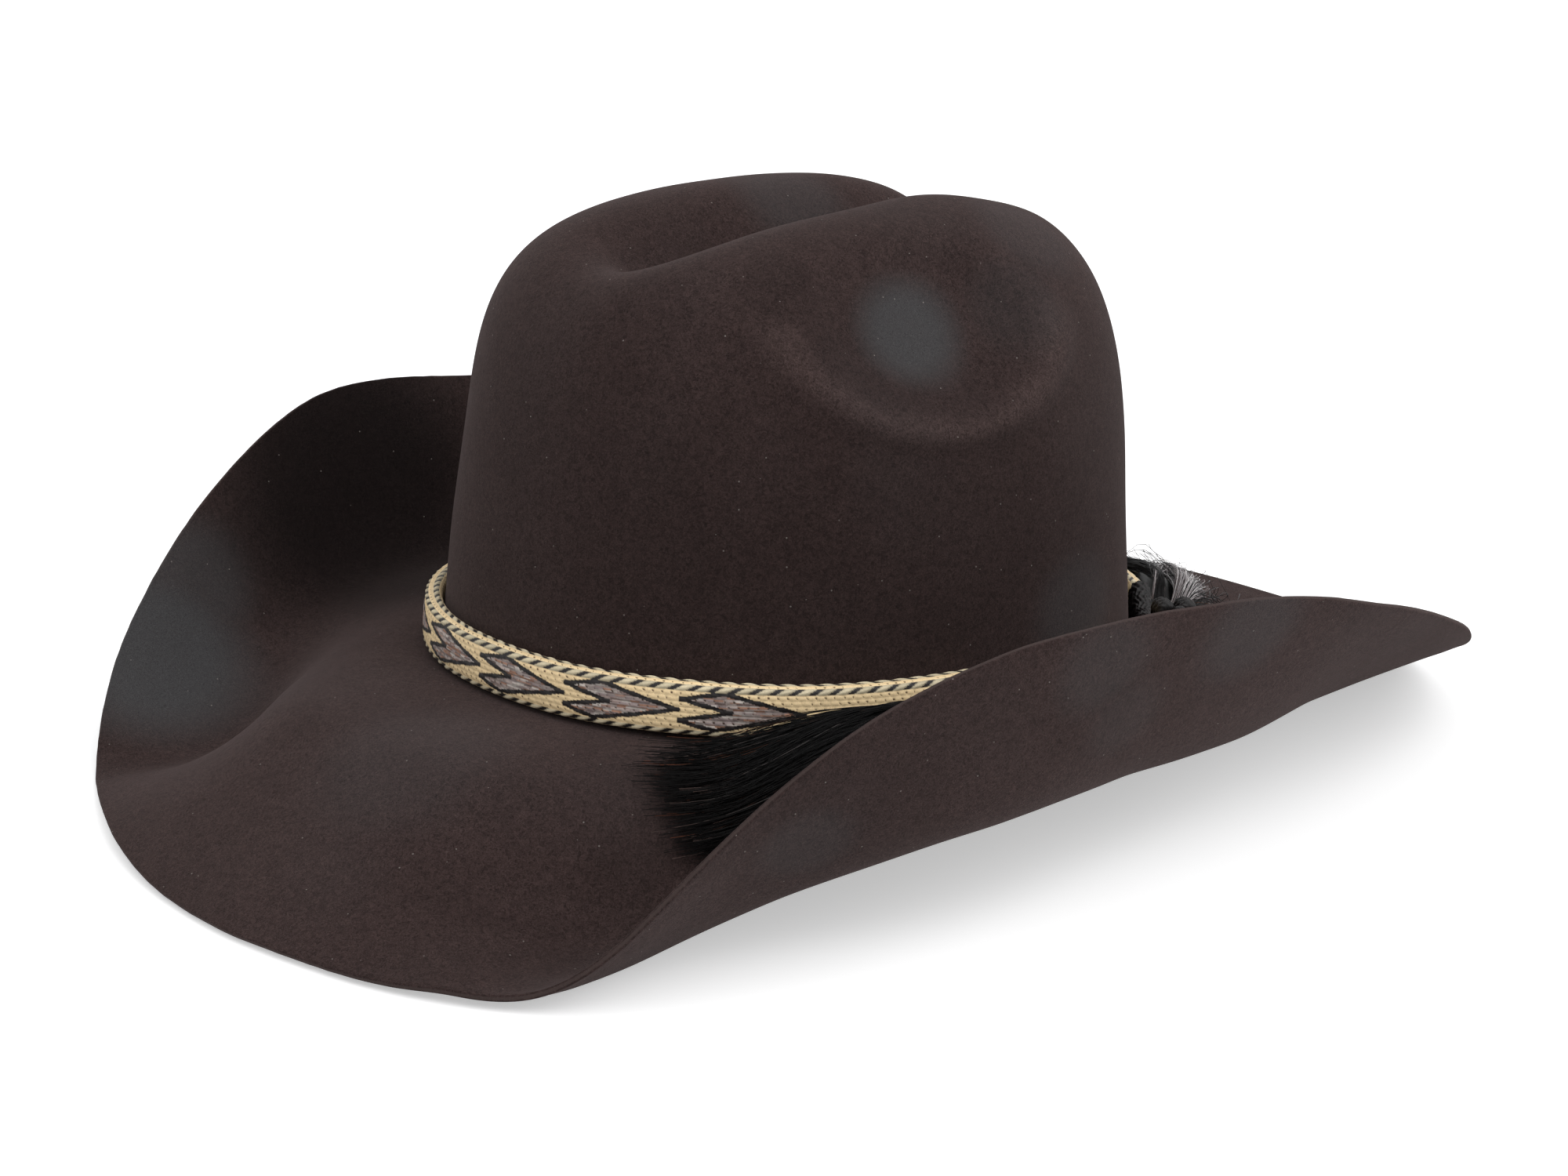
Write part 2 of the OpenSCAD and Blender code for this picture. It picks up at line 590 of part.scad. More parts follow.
// Loose hair lying on the brim: a fan from the knots to its two end corners
module tassel_hair(place, tip_in, tip_out, gap) {
    steps = 10;
    across = 5;
    root = root_angle(place, tip_in, gap);
    root_half = knot_side + knot_d * 0.45;
    side_share = 0.45;
    root_share = 0.65;
    tip_share = 0.35;
    full_by = 1 / 3;
    thins_from = 0.3;
    root_in = [root, share_at(root, place[1] - root_half)];
    root_out = [root, share_at(root, place[1] + root_half)];
    flip = tip_in[0] < place[0];
    function spot(i, j) = mix(mix(root_in, tip_in, i / steps), mix(root_out, tip_out, i / steps), j / across);
    function height(i, j) = let (t = i / steps, thin = ease((t - thins_from) / (1 - thins_from)))
        hair_h * mix(side_share, 1, sin(180 * j / across))
        * mix(mix(root_share, 1, ease(t / full_by)), tip_share, thin);
    function lifted(i, j, h) = let (q = spot(i, j)) brim(q[0], q[1]) + brim_normal(q[0], q[1]) * h;
    low = felt_t / 2 + tassel_gap;
    function ring(i) = [for (j = [0:across]) lifted(i, j, low),
                        for (j = [across:-1:0]) lifted(i, j, low + height(i, j))];
    function turned_ring(r) = flip ? [for (k = [len(r) - 1:-1:0]) r[k]] : r;
    capped([for (i = [0:steps]) turned_ring(ring(i))]);
}

module tassel_knots_front() color([0.05, 0.05, 0.05]) on_table() tassel_knots(pivot_front, hair_front_in);
module tassel_knots_rear() color([0.05, 0.05, 0.05]) on_table() tassel_knots(pivot_rear, hair_rear_in);
module tassel_hair_front() color([0.05, 0.045, 0.045]) on_table()
    tassel_hair(pivot_front, hair_front_in, hair_front_out, hair_gap_front);
module tassel_hair_rear() color([0.3, 0.29, 0.28]) on_table()
    tassel_hair(pivot_rear, hair_rear_in, hair_rear_out, hair_gap_rear);

felt_body();
sweatband();
sweatband_reed();
reed_tape();
sweatband_stitching();
back_seam();
sweatband_bow();
size_tag();
liner_side();
liner_tip();
liner_piping();
hatband();
band_wrap_front();
band_wrap_rear();
closure_cord_front();
closure_cord_rear();
slide_knot();
tassel_knots_front();
tassel_hair_front();
tassel_knots_rear();
tassel_hair_rear();
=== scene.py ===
import json
import math

import bpy
import numpy as np
from mathutils import Matrix, Vector


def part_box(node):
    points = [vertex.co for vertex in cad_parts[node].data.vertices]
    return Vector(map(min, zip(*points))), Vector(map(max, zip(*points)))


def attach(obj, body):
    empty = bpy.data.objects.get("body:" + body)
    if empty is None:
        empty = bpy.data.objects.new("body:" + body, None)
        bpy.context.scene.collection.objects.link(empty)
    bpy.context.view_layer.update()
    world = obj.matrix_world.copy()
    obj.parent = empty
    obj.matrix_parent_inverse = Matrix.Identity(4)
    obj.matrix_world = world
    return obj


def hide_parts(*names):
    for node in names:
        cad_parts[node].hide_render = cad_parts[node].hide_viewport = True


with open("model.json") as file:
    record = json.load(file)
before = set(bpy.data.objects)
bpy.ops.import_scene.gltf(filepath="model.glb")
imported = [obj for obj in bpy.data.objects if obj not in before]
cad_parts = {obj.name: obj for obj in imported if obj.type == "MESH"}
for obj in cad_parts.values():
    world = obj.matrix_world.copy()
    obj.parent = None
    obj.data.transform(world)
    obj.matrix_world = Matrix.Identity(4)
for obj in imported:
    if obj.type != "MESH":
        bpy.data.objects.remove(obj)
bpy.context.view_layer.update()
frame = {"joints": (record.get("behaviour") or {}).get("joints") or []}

# Lengths are millimetres in the hat's own level frame: the front faces -Y, the wearer's left is +X, and
# angles are degrees on the crown's foot, from 0 at the front to 90 at the wearer's left.
# place() tips them onto the table, in metres. Sizes are those of the CAD model.
FOOT_X, FOOT_Y, FOOT_SQUARE = 86, 98.5, 2.2
FELT_T, BREAK_R = 2.5, 3
CROWN_H, CROWN_RISE, CROWN_SQUARE = 127.5, 0.04, 4.3
SIDE_TAPER, FRONT_TAPER, BACK_TAPER = 0.075, 0.06, 0.085
CREASE_DEPTH, CREASE_W = 28.5, 17.5
CREASE_FRONT, CREASE_FRONT_RUN, CREASE_BACK, CREASE_BACK_RUN = -59, 14, 110, 12
CREASE_FADE, CREASE_FADE_RUN = 0.55, 0.35
DENT_DEPTH, DENT_Y, DENT_Z, DENT_HALF_LEN, DENT_HALF_HIGH, DENT_FADE_X = 9, -10, 102, 34, 20, 30
EDGE_SIDE, EDGE_FRONT, EDGE_BACK = 158, 194, 208.5
EDGE_SQUARE_FRONT, EDGE_SQUARE_BACK = 2.55, 2.35
EDGE_Z_FRONT, EDGE_Z_SIDE, EDGE_Z_BACK = -36.5, 49, -18
ROOT_SLOPE_FRONT, ROOT_SLOPE_SIDE, ROOT_SLOPE_BACK = 0, -6.5, 4
EDGE_SLOPE_FRONT, EDGE_SLOPE_SIDE, EDGE_SLOPE_BACK = -29, 88, 4.5
ROOT_HANDLE, EDGE_HANDLE = 0.655, 0.705
RISE_FRONT, RISE_BACK, TURN_FRONT, TURN_BACK = (29, 78.5), (13.5, 96.5), (7.5, 80.5), (14, 123.5)
CROWN_ROWS, BEND_ROWS, BRIM_ROWS, SECTORS = 16, 4, 14, 64
LINER_SEAM_ROW, LINER_LOW_ROW = 9, 14
SEAT, LIFT_GAP, CORD_GAP, TASSEL_GAP, WRAP_GAP = 0.3, 0.35, 0.3, 0.7, 0.2
SWEAT_H, SWEAT_T, REED_D, TAPE_T, TAPE_H = 43, 1.2, 2, 0.6, 6
THREAD_D, STITCH_LEN, STITCH_COUNT = 0.8, 3.4, 96
BOW_W, BOW_H, TAG_W, TAG_H = 24, 9, 16, 12
SATIN_T, PIPING_D = 0.6, 2.4
BAND_H, BAND_T, BAND_Z, BAND_FRONT_END, BAND_BACK_END = 14, 5.6, 2.6, 84, 147
WRAP_LEN, WRAP_PROUD, CORD_D, SLIDE_LEN, SLIDE_WALL = 15, 0.7, 3, 16, 1.6
CORD_ARC_AT = (98, 116, 134)
PIVOT_FRONT, PIVOT_REAR = (85, 14.5), (151, 19)
KNOT_D, KNOT_LEN, HAIR_H = 6.4, 7, 9

MM = 0.001
UP = np.array([0, 0, 1.0])
LATTICE = 32
rng = np.random.default_rng(7)


# ---- arithmetic on arrays of points ----

def sind(a):
    return np.sin(np.radians(a))


def cosd(a):
    return np.cos(np.radians(a))


def vec(x, y, z):
    return np.stack(np.broadcast_arrays(x, y, z), -1).astype(float)


def unit(v):
    return v / np.linalg.norm(v, axis=-1, keepdims=True)


def mix(a, b, t):
    return a + (b - a) * t


def ease(v):
    c = np.clip(v, 0, 1)
    return c * c * (3 - 2 * c)


def fade(v, span):
    return 1 - ease((v - span[0]) / (span[1] - span[0]))


def signed_pow(v, e):
    return np.sign(v) * np.abs(v) ** e


def col(v):
    """A column beside which points or vectors broadcast."""
    return np.asarray(v, float)[..., None]


def noise(points, size, seed):
    """Smooth noise from -1 to 1, with lumps about size across."""
    lattice = np.random.default_rng(seed).uniform(-1, 1, (LATTICE, LATTICE, LATTICE))
    q = np.asarray(points, float) / size
    low = np.floor(q).astype(int)
    f = ease(q - low)
    total = 0
    for corner in range(8):
        bits = np.array([corner & 1, corner >> 1 & 1, corner >> 2 & 1])
        cell = (low + bits) % LATTICE
        weight = np.prod(np.where(bits, f, 1 - f), -1)
        total = total + weight * lattice[cell[..., 0], cell[..., 1], cell[..., 2]]
    return total


# ---- the hat's forms, as in the CAD model ----

def oval(a, rx, ry, n):
    return vec(rx * signed_pow(sind(a), 2 / n), -ry * signed_pow(cosd(a), 2 / n), 0)


def foot(a):
    return oval(a, FOOT_X, FOOT_Y, FOOT_SQUARE)


def foot_out(a):
    return unit(vec(sind(a) / FOOT_X, -cosd(a) / FOOT_Y, 0))


def crease(x, y, rise):
    run = np.tanh((y - CREASE_FRONT) / CREASE_FRONT_RUN) - np.tanh((y - CREASE_BACK) / CREASE_BACK_RUN)
    high_up = ease((rise - CREASE_FADE) / CREASE_FADE_RUN)
    return CREASE_DEPTH * np.exp(-(x / CREASE_W) ** 2) * high_up * run / 2


def dent(x, y, z):
    return DENT_DEPTH * ease(np.abs(x) / DENT_FADE_X) * np.exp(
        -((y - DENT_Y) / DENT_HALF_LEN) ** 2 - ((z - DENT_Z) / DENT_HALF_HIGH) ** 2)


def crown(a, share, rise):
    """A point of the crown: share is how wide and rise how high it lies, both from 0 to 1."""
    base = foot(a)
    end_taper = mix(BACK_TAPER, FRONT_TAPER, (1 + cosd(a)) / 2)
    x = base[..., 0] * share * (1 - SIDE_TAPER * rise)
    y = base[..., 1] * share * (1 - end_taper * rise)
    z = CROWN_H * rise + CROWN_RISE * y * rise
    return vec(x - np.sign(x) * dent(x, y, z), y, z - crease(x, y, rise))


def crown_at(a, w):
    """A point of the crown at w degrees, from 0 at its foot to 90 at its top."""
    c, s = np.abs(cosd(w)), np.abs(sind(w))
    r = (c ** CROWN_SQUARE + s ** CROWN_SQUARE) ** (-1 / CROWN_SQUARE)
    return crown(a, r * c, r * s)


def wall(a, z, off):
    """A point off millimetres outside the crown's middle surface, at height z."""
    z = np.asarray(z, float)
    rise = np.maximum(0, z) / CROWN_H
    share = (1 - rise ** CROWN_SQUARE) ** (1 / CROWN_SQUARE)
    return crown(a, share, rise) + vec(0, 0, np.minimum(0, z)) + col(off) * foot_out(a)


def from_front(a):
    return np.degrees(np.arccos(np.clip(cosd(a), -1, 1)))


def edge_z(a):
    return (EDGE_Z_SIDE + (EDGE_Z_FRONT - EDGE_Z_SIDE) * fade(from_front(a), RISE_FRONT)
            + (EDGE_Z_BACK - EDGE_Z_SIDE) * fade(180 - from_front(a), RISE_BACK))


def edge_slope(a):
    return (EDGE_SLOPE_SIDE + (EDGE_SLOPE_FRONT - EDGE_SLOPE_SIDE) * fade(from_front(a), TURN_FRONT)
            + (EDGE_SLOPE_BACK - EDGE_SLOPE_SIDE) * fade(180 - from_front(a), TURN_BACK))


def root_slope(a):
    end = np.where(cosd(a) > 0, ROOT_SLOPE_FRONT, ROOT_SLOPE_BACK)
    return ROOT_SLOPE_SIDE * sind(a) ** 2 + end * cosd(a) ** 2


def edge_plan(a):
    square = mix(EDGE_SQUARE_BACK, EDGE_SQUARE_FRONT, ease((cosd(a) + 0.6) / 1.2))
    return oval(a, EDGE_SIDE, np.where(cosd(a) > 0, EDGE_FRONT, EDGE_BACK), square)


def tilted(flat, slope):
    return flat * col(cosd(slope)) + vec(0, 0, sind(slope))


def edge(a):
    return edge_plan(a) + vec(0, 0, edge_z(a))


def brim(a, s):
    """A point of the brim's middle surface: s is 0 at the crown's foot and 1 at the edge."""
    a, s = np.broadcast_arrays(np.asarray(a, float), np.asarray(s, float))
    root, rim = foot(a), edge(a)
    chord = np.linalg.norm(rim - root, axis=-1, keepdims=True)
    near = root + ROOT_HANDLE * chord * tilted(foot_out(a), root_slope(a))
    far = rim - EDGE_HANDLE * chord * tilted(unit(edge_plan(a) - root), edge_slope(a))
    s = col(s)
    q = 1 - s
    return q ** 3 * root + 3 * s * q * q * near + 3 * s * s * q * far + s ** 3 * rim


def brim_normal(a, s):
    return unit(np.cross(brim(a, s + 0.01) - brim(a, s - 0.01), brim(a + 1, s) - brim(a - 1, s)))


def share_at(a, off):
    """The share of the brim that lies off millimetres from the crown's foot."""
    return off / (3 * ROOT_HANDLE * np.linalg.norm(edge(a) - foot(a), axis=-1))


BEND_W = math.degrees(math.atan(BREAK_R / CROWN_H))
BEND_S = BREAK_R / (3 * ROOT_HANDLE * math.hypot(EDGE_SIDE - FOOT_X, EDGE_Z_SIDE))
BRIM_START = CROWN_ROWS + BEND_ROWS
LAST_ROW = BRIM_START + BRIM_ROWS


def middle(row, a):
    """The felt's middle surface, by the CAD model's rows: 0 at the crown's top and LAST_ROW at the edge."""
    row, a = np.broadcast_arrays(np.asarray(row, float), np.asarray(a, float))
    t = col(np.clip((row - CROWN_ROWS) / BEND_ROWS, 0, 1))
    on_crown = crown_at(a, mix(90, BEND_W, np.clip(row / CROWN_ROWS, 0, 1)))
    on_brim = brim(a, mix(BEND_S, 1, np.clip((row - BRIM_START) / BRIM_ROWS, 0, 1)))
    in_bend = (1 - t) ** 2 * on_crown + 2 * t * (1 - t) * foot(a) + t * t * on_brim
    return np.where(col(row) <= CROWN_ROWS, on_crown, np.where(col(row) < BRIM_START, in_bend, on_brim))


def normals_of(grid):
    """Normals of rows of points that close on themselves along each row."""
    down = np.gradient(grid, axis=0)
    along = np.roll(grid, -1, 1) - np.roll(grid, 1, 1)
    n = np.cross(down, along)
    length = np.linalg.norm(n, axis=-1, keepdims=True)
    return np.where(length > 1e-9, n / np.maximum(length, 1e-9), UP)


# ---- the hat's place on the table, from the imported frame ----

lift = next(j for j in frame["joints"] if j["name"] == "band_lift")
crown_axis = Vector(lift["axis"]).normalized()
PITCH = math.atan2(crown_axis.y, crown_axis.z)


def tipped(p):
    c, s = math.cos(PITCH), math.sin(PITCH)
    return vec(p[..., 0], p[..., 1] * c + p[..., 2] * s, p[..., 2] * c - p[..., 1] * s)


cad_rows = middle(np.arange(LAST_ROW + 1)[:, None], np.arange(SECTORS) * 360 / SECTORS)
cad_top = tipped(cad_rows + FELT_T / 2 * normals_of(cad_rows)).reshape(-1, 3)
cad_low = tipped(cad_rows - FELT_T / 2 * normals_of(cad_rows)).reshape(-1, 3)
felt_low, felt_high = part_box("felt_body")
shift_y = (felt_low.y + felt_high.y) / 2 / MM - (cad_top[:, 1].min() + cad_top[:, 1].max()) / 2
shift_z = felt_low.z / MM - min(cad_low[:, 2].min(), cad_top[:, 2].min())
SHIFT = np.array([0, shift_y, shift_z])


def place(p):
    return (tipped(np.asarray(p, float)) + SHIFT) * MM


# ---- meshes from grids of points ----

def build(name, points, faces, mat, body, node=None, slot=None, colours=None, values=None):
    """A smooth mesh from points in the level frame. faces is a list of arrays of vertex numbers."""
    mesh = bpy.data.meshes.new(name)
    placed = place(points).reshape(-1, 3)
    loops = np.concatenate([f.reshape(-1) for f in faces])
    sizes = np.concatenate([np.full(len(f), f.shape[1]) for f in faces])
    mesh.vertices.add(len(placed))
    mesh.vertices.foreach_set("co", placed.reshape(-1).astype(np.float32))
    mesh.loops.add(len(loops))
    mesh.loops.foreach_set("vertex_index", loops.astype(np.int32))
    mesh.polygons.add(len(sizes))
    mesh.polygons.foreach_set("loop_start", np.concatenate([[0], np.cumsum(sizes)[:-1]]).astype(np.int32))
    mesh.polygons.foreach_set("loop_total", sizes.astype(np.int32))
    mesh.polygons.foreach_set("use_smooth", np.ones(len(sizes), bool))
    if colours is not None:
        layer = mesh.color_attributes.new("tint", "FLOAT_COLOR", "POINT")
        rgba = np.concatenate([colours.reshape(-1, 3), np.ones((len(placed), 1))], 1)
        layer.data.foreach_set("color", rgba.reshape(-1).astype(np.float32))
    for key, value in (values or {}).items():
        layer = mesh.attributes.new(key, "FLOAT", "POINT")
        layer.data.foreach_set("value", np.asarray(value, float).reshape(-1).astype(np.float32))
    mesh.update(calc_edges=True)
    mesh.validate()
    obj = bpy.data.objects.new(name, mesh)
    bpy.context.scene.collection.objects.link(obj)
    mesh.materials.append(mat)
    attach(obj, body)
    if node:
        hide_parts(*([node] if isinstance(node, str) else node))
    return obj


def grid_faces(rows, cols, closed_rows=False, closed_cols=True):
    """Quads between neighbouring rows of a grid. The outside is to the left of the rows' direction."""
    i = np.arange(rows if closed_rows else rows - 1)[:, None]
    j = np.arange(cols if closed_cols else cols - 1)[None, :]
    i1, j1 = (i + 1) % rows, (j + 1) % cols
    quads = np.stack(np.broadcast_arrays(i * cols + j, i1 * cols + j, i1 * cols + j1, i * cols + j1), -1)
    return quads.reshape(-1, 4)


def capped(rings):
    """Points and faces of a tube through rings, closed by a point at each end."""
    rows, cols = rings.shape[:2]
    points = np.concatenate([rings.reshape(-1, 3), rings[:1].mean(1), rings[-1:].mean(1)])
    j = np.arange(cols)
    j1 = (j + 1) % cols
    first = np.stack([np.full(cols, rows * cols), j, j1], -1)
    last = np.stack([np.full(cols, rows * cols + 1), (rows - 1) * cols + j1, (rows - 1) * cols + j], -1)
    return points, [grid_faces(rows, cols), first, last]


def length_along(path):
    """The length of a path up to each of its points."""
    return np.concatenate([[0], np.cumsum(np.linalg.norm(np.diff(path, axis=0), axis=1))])


def with_ends(values):
    """Per-point values of a capped tube: the grid's own and one for each end point."""
    flat = values.reshape(-1, values.shape[-1])
    return np.concatenate([flat, values[:1].mean(1), values[-1:].mean(1)])


def rings_round(path, way_a, way_b, a, b):
    """Rings round the points of a path, from how far each ring's points lie along two ways."""
    return path[:, None] + way_a[..., None, :] * col(a) + way_b[..., None, :] * col(b)


def strands(paths, radii):
    """One mesh of thin four-sided hairs along paths of equal point counts."""
    count, steps = paths.shape[:2]
    along = unit(np.gradient(paths, axis=1))
    side = unit(np.cross(along, np.array([0.31, 0.17, 0.93])))
    other = np.cross(along, side)
    taper = np.linspace(1, 0.55, steps)[None, :, None, None]
    turn = np.arange(4) * np.pi / 2
    ring = side[:, :, None] * np.cos(turn)[:, None] + other[:, :, None] * np.sin(turn)[:, None]
    rings = paths[:, :, None] + ring * radii[:, None, None, None] * taper
    quads = grid_faces(steps, 4)
    base = (np.arange(count) * steps * 4)[:, None, None]
    first = np.array([[0, 1, 2, 3]])
    last = np.array([[3, 2, 1, 0]]) + (steps - 1) * 4
    return rings.reshape(-1, 3), [(some[None] + base).reshape(-1, 4) for some in (quads, first, last)]


# ---- materials ----

def shader(name, rough, sheen=0.0, sheen_rough=0.5, sheen_tint=(1, 1, 1), specular=0.5):
    mat = bpy.data.materials.new(name)
    mat.use_nodes = True
    tree = mat.node_tree
    bsdf = tree.nodes["Principled BSDF"]
    bsdf.inputs["Roughness"].default_value = rough
    bsdf.inputs["Specular IOR Level"].default_value = specular
    bsdf.inputs["Sheen Weight"].default_value = sheen
    bsdf.inputs["Sheen Roughness"].default_value = sheen_rough
    bsdf.inputs["Sheen Tint"].default_value = (*sheen_tint, 1)
    return mat, tree, bsdf


def add(tree, kind, **settings):
    node = tree.nodes.new("ShaderNode" + kind)
    for key, value in settings.items():
        if key in node.inputs:
            node.inputs[key].default_value = value
        else:
            setattr(node, key, value)
    return node


def texture(tree, kind, scale, stretch=(1, 1, 1), **settings):
    """A texture in the object's own space, whose scale counts lumps per metre."""
    where = add(tree, "TexCoord")
    mapping = add(tree, "Mapping")
    mapping.inputs["Scale"].default_value = stretch
    tree.links.new(where.outputs["Object"], mapping.inputs["Vector"])
    node = add(tree, kind, Scale=scale, **settings)
    tree.links.new(mapping.outputs["Vector"], node.inputs["Vector"])
    return node


def cloudy(tree, scale, detail, rough=0.5, distort=0.0, stretch=(1, 1, 1)):
    """A noise texture's reading, from 0 to 1."""
    node = texture(tree, "TexNoise", scale, stretch, Detail=detail, Roughness=rough, Distortion=distort)
    return node.outputs["Fac"]


def ramp(tree, source, stops):
    node = add(tree, "ValToRGB")
    while len(node.color_ramp.elements) < len(stops):
        node.color_ramp.elements.new(0.5)
    for element, (at, colour) in zip(node.color_ramp.elements, stops):
        element.position = at
        element.color = (*colour, 1)
    tree.links.new(source, node.inputs["Fac"])
    return node.outputs["Color"]


def blend_colours(tree, factor, a, b, kind="MIX"):
    node = add(tree, "Mix", data_type="RGBA", blend_type=kind)
    sockets = {s.identifier: s for s in node.inputs}
    for key, value in (("Factor_Float", factor), ("A_Color", a), ("B_Color", b)):
        if isinstance(value, (int, float)):
            sockets[key].default_value = value
        elif isinstance(value, tuple):
            sockets[key].default_value = (*value, 1)
        else:
            tree.links.new(value, sockets[key])
    return next(o for o in node.outputs if o.identifier == "Result_Color")


def math_node(tree, operation, a, b=None):
    node = add(tree, "Math", operation=operation)
    for socket, value in zip(node.inputs, (a, b)):
        if value is None:
            continue
        if isinstance(value, (int, float)):
            socket.default_value = value
        else:
            tree.links.new(value, socket)
    return node.outputs[0]


def coat(tree, bsdf, base, height, depth, strength=1.0):
    """Gives a shader its colour and its relief, with a depth in metres."""
    tree.links.new(base, bsdf.inputs["Base Color"])
    node = add(tree, "Bump", Strength=strength, Distance=depth)
    tree.links.new(height, node.inputs["Height"])
    tree.links.new(node.outputs["Normal"], bsdf.inputs["Normal"])


def grey(v):
    return (v, v, v)


def patchy(tree, base, share, source, low, high):
    """The base times a grey that follows a texture: low and high are its readings and their greys."""
    greys = ramp(tree, source, [(low[0], grey(low[1])), (high[0], grey(high[1]))])
    return blend_colours(tree, share, base, greys, "MULTIPLY")


def painted(tree, name):
    """How strongly make_felt marks a place, from 0 to 1."""
    return add(tree, "Attribute", attribute_name=name).outputs["Fac"]


FELT_DARK, FELT_LIGHT = (0.031, 0.0193, 0.0180), (0.039, 0.0252, 0.0238)
# the bloom colour stands for brushed-up nap and for painted sheen
FELT_BLOOM_AND_PAINTED_SHEEN, FELT_CUT = (0.056, 0.0555, 0.0575), (0.062, 0.045, 0.042)
# multipliers for the painted highlight on the dent's lip and for the painted shade
FELT_PAINTED_HIGHLIGHT_TIMES, FELT_PATCHES_AND_PAINTED_SHADE_TIMES = (1.55, 1.62, 1.62), grey(0.21)
LOOSE_FIBRE, LINT = (0.15, 0.12, 0.115), (0.30, 0.27, 0.25)
FELT_SHEEN = (0.66, 0.54, 0.53)


def felt_material():
    mat, tree, bsdf = shader("brown_felt", 0.95, sheen=0.16, sheen_rough=0.4, sheen_tint=FELT_SHEEN,
                             specular=0.08)
    cloud = cloudy(tree, 22, 4.0, 0.6)
    mottle = cloudy(tree, 160, 5.0, 0.65, 0.4)
    nap = cloudy(tree, 900, 4.0, 0.7, 1.6)
    fibre = cloudy(tree, 2600, 2.0, 0.6, 2.5)
    curled = cloudy(tree, 700, 1.0, 0.4, 6.0)
    lint = texture(tree, "TexVoronoi", 210, Randomness=1.0).outputs["Distance"]
    base = ramp(tree, cloud, [(0.3, FELT_DARK), (0.7, FELT_LIGHT)])
    base = patchy(tree, base, 0.3, mottle, (0.3, 0.68), (0.7, 1.32))
    base = patchy(tree, base, 1.0, nap, (0.38, 0.58), (0.62, 1.45))
    # greyer where the nap is brushed up and where sheen is painted on
    base = blend_colours(tree, painted(tree, "bloom_and_painted_sheen"), base, FELT_BLOOM_AND_PAINTED_SHEEN)
    base = patchy(tree, base, 0.9, fibre, (0.3, 0.45), (0.75, 1.8))
    # painted highlight on the dent's lower lip
    base = blend_colours(tree, painted(tree, "painted_lip_highlight"), base, FELT_PAINTED_HIGHLIGHT_TIMES, "MULTIPLY")
    # painted shade, over faint random darker patches
    base = blend_colours(tree, painted(tree, "patches_and_painted_shade"), base, FELT_PATCHES_AND_PAINTED_SHADE_TIMES, "MULTIPLY")
    # a curled hair lies where that noise passes its middle, and a speck in the middle of each cell
    from_middle = math_node(tree, "ABSOLUTE", math_node(tree, "SUBTRACT", curled, 0.5))
    hair = math_node(tree, "LESS_THAN", from_middle, 0.006)
    speck = math_node(tree, "LESS_THAN", lint, 0.045)
    base = blend_colours(tree, math_node(tree, "MULTIPLY", hair, 0.3), base, LOOSE_FIBRE)
    base = blend_colours(tree, math_node(tree, "MULTIPLY", speck, 0.55), base, LINT)
    base = blend_colours(tree, math_node(tree, "MULTIPLY", painted(tree, "cut"), 0.75), base, FELT_CUT)
    height = math_node(tree, "MULTIPLY", nap, 0.7)
    height = math_node(tree, "ADD", height, math_node(tree, "MULTIPLY", fibre, 0.5))
    coat(tree, bsdf, base, height, 0.00022, 0.75)
    return mat


def tinted_material(name, rough, fibre_scale, depth, sheen, specular, contrast):
    """A fibre whose colour is painted on its points."""
    mat, tree, bsdf = shader(name, rough, sheen=sheen, specular=specular)
    tint = add(tree, "Attribute", attribute_name="tint").outputs["Color"]
    fibre = cloudy(tree, fibre_scale, 3.0, 0.6, 0.8)
    base = patchy(tree, tint, 1.0, fibre, (0.3, 1 - contrast), (0.7, 1 + contrast))
    coat(tree, bsdf, base, fibre, depth)
    return mat


def leather_material():
    mat, tree, bsdf = shader("tan_leather", 0.42, sheen=0.05, specular=0.45)
    grain = texture(tree, "TexVoronoi", 900, Randomness=1.0).outputs["Distance"]
    cloud = cloudy(tree, 40, 5.0, 0.6)
    base = ramp(tree, cloud, [(0.25, (0.17, 0.082, 0.038)), (0.75, (0.26, 0.135, 0.066))])
    base = patchy(tree, base, 0.5, grain, (0.0, 0.75), (0.5, 1.15))
    fine = math_node(tree, "MULTIPLY", cloudy(tree, 1800, 3.0), 0.5)
    coat(tree, bsdf, base, math_node(tree, "ADD", grain, fine), 0.00012)
    return mat


def woven_material(name, light, dark, pitch, rough=0.7):
    """A small even weave, from two bands of waves that cross."""
    mat, tree, bsdf = shader(name, rough, sheen=0.3, specular=0.3)
    scale = 1 / (pitch * MM) / 2
    waves = [texture(tree, "TexWave", scale, wave_type="BANDS", bands_direction=way, Distortion=0.6)
             for way in ("DIAGONAL", "Z")]
    weave = math_node(tree, "MULTIPLY", waves[0].outputs["Fac"], waves[1].outputs["Fac"])
    base = ramp(tree, weave, [(0.0, dark), (0.7, light)])
    base = patchy(tree, base, 0.4, cloudy(tree, 60, 3.0), (0.3, 0.8), (0.7, 1.2))
    coat(tree, bsdf, base, weave, 0.0001)
    return mat


def satin_material(name, colour):
    """Satin with its threads and its sheen along the height."""
    mat, tree, bsdf = shader(name, 0.32, sheen=0.4, specular=0.5)
    bsdf.inputs["Anisotropic"].default_value = 0.6
    cloud = cloudy(tree, 90, 4.0, 0.6, stretch=(1, 1, 0.15))
    thread = cloudy(tree, 3000, 2.0, stretch=(1, 1, 0.12))
    dark, light = (tuple(share * c for c in colour) for share in (0.72, 1.25))
    base = ramp(tree, cloud, [(0.3, dark), (0.7, light)])
    base = patchy(tree, base, 0.3, thread, (0.3, 0.7), (0.7, 1.3))
    coat(tree, bsdf, base, thread, 0.00006)
    return mat


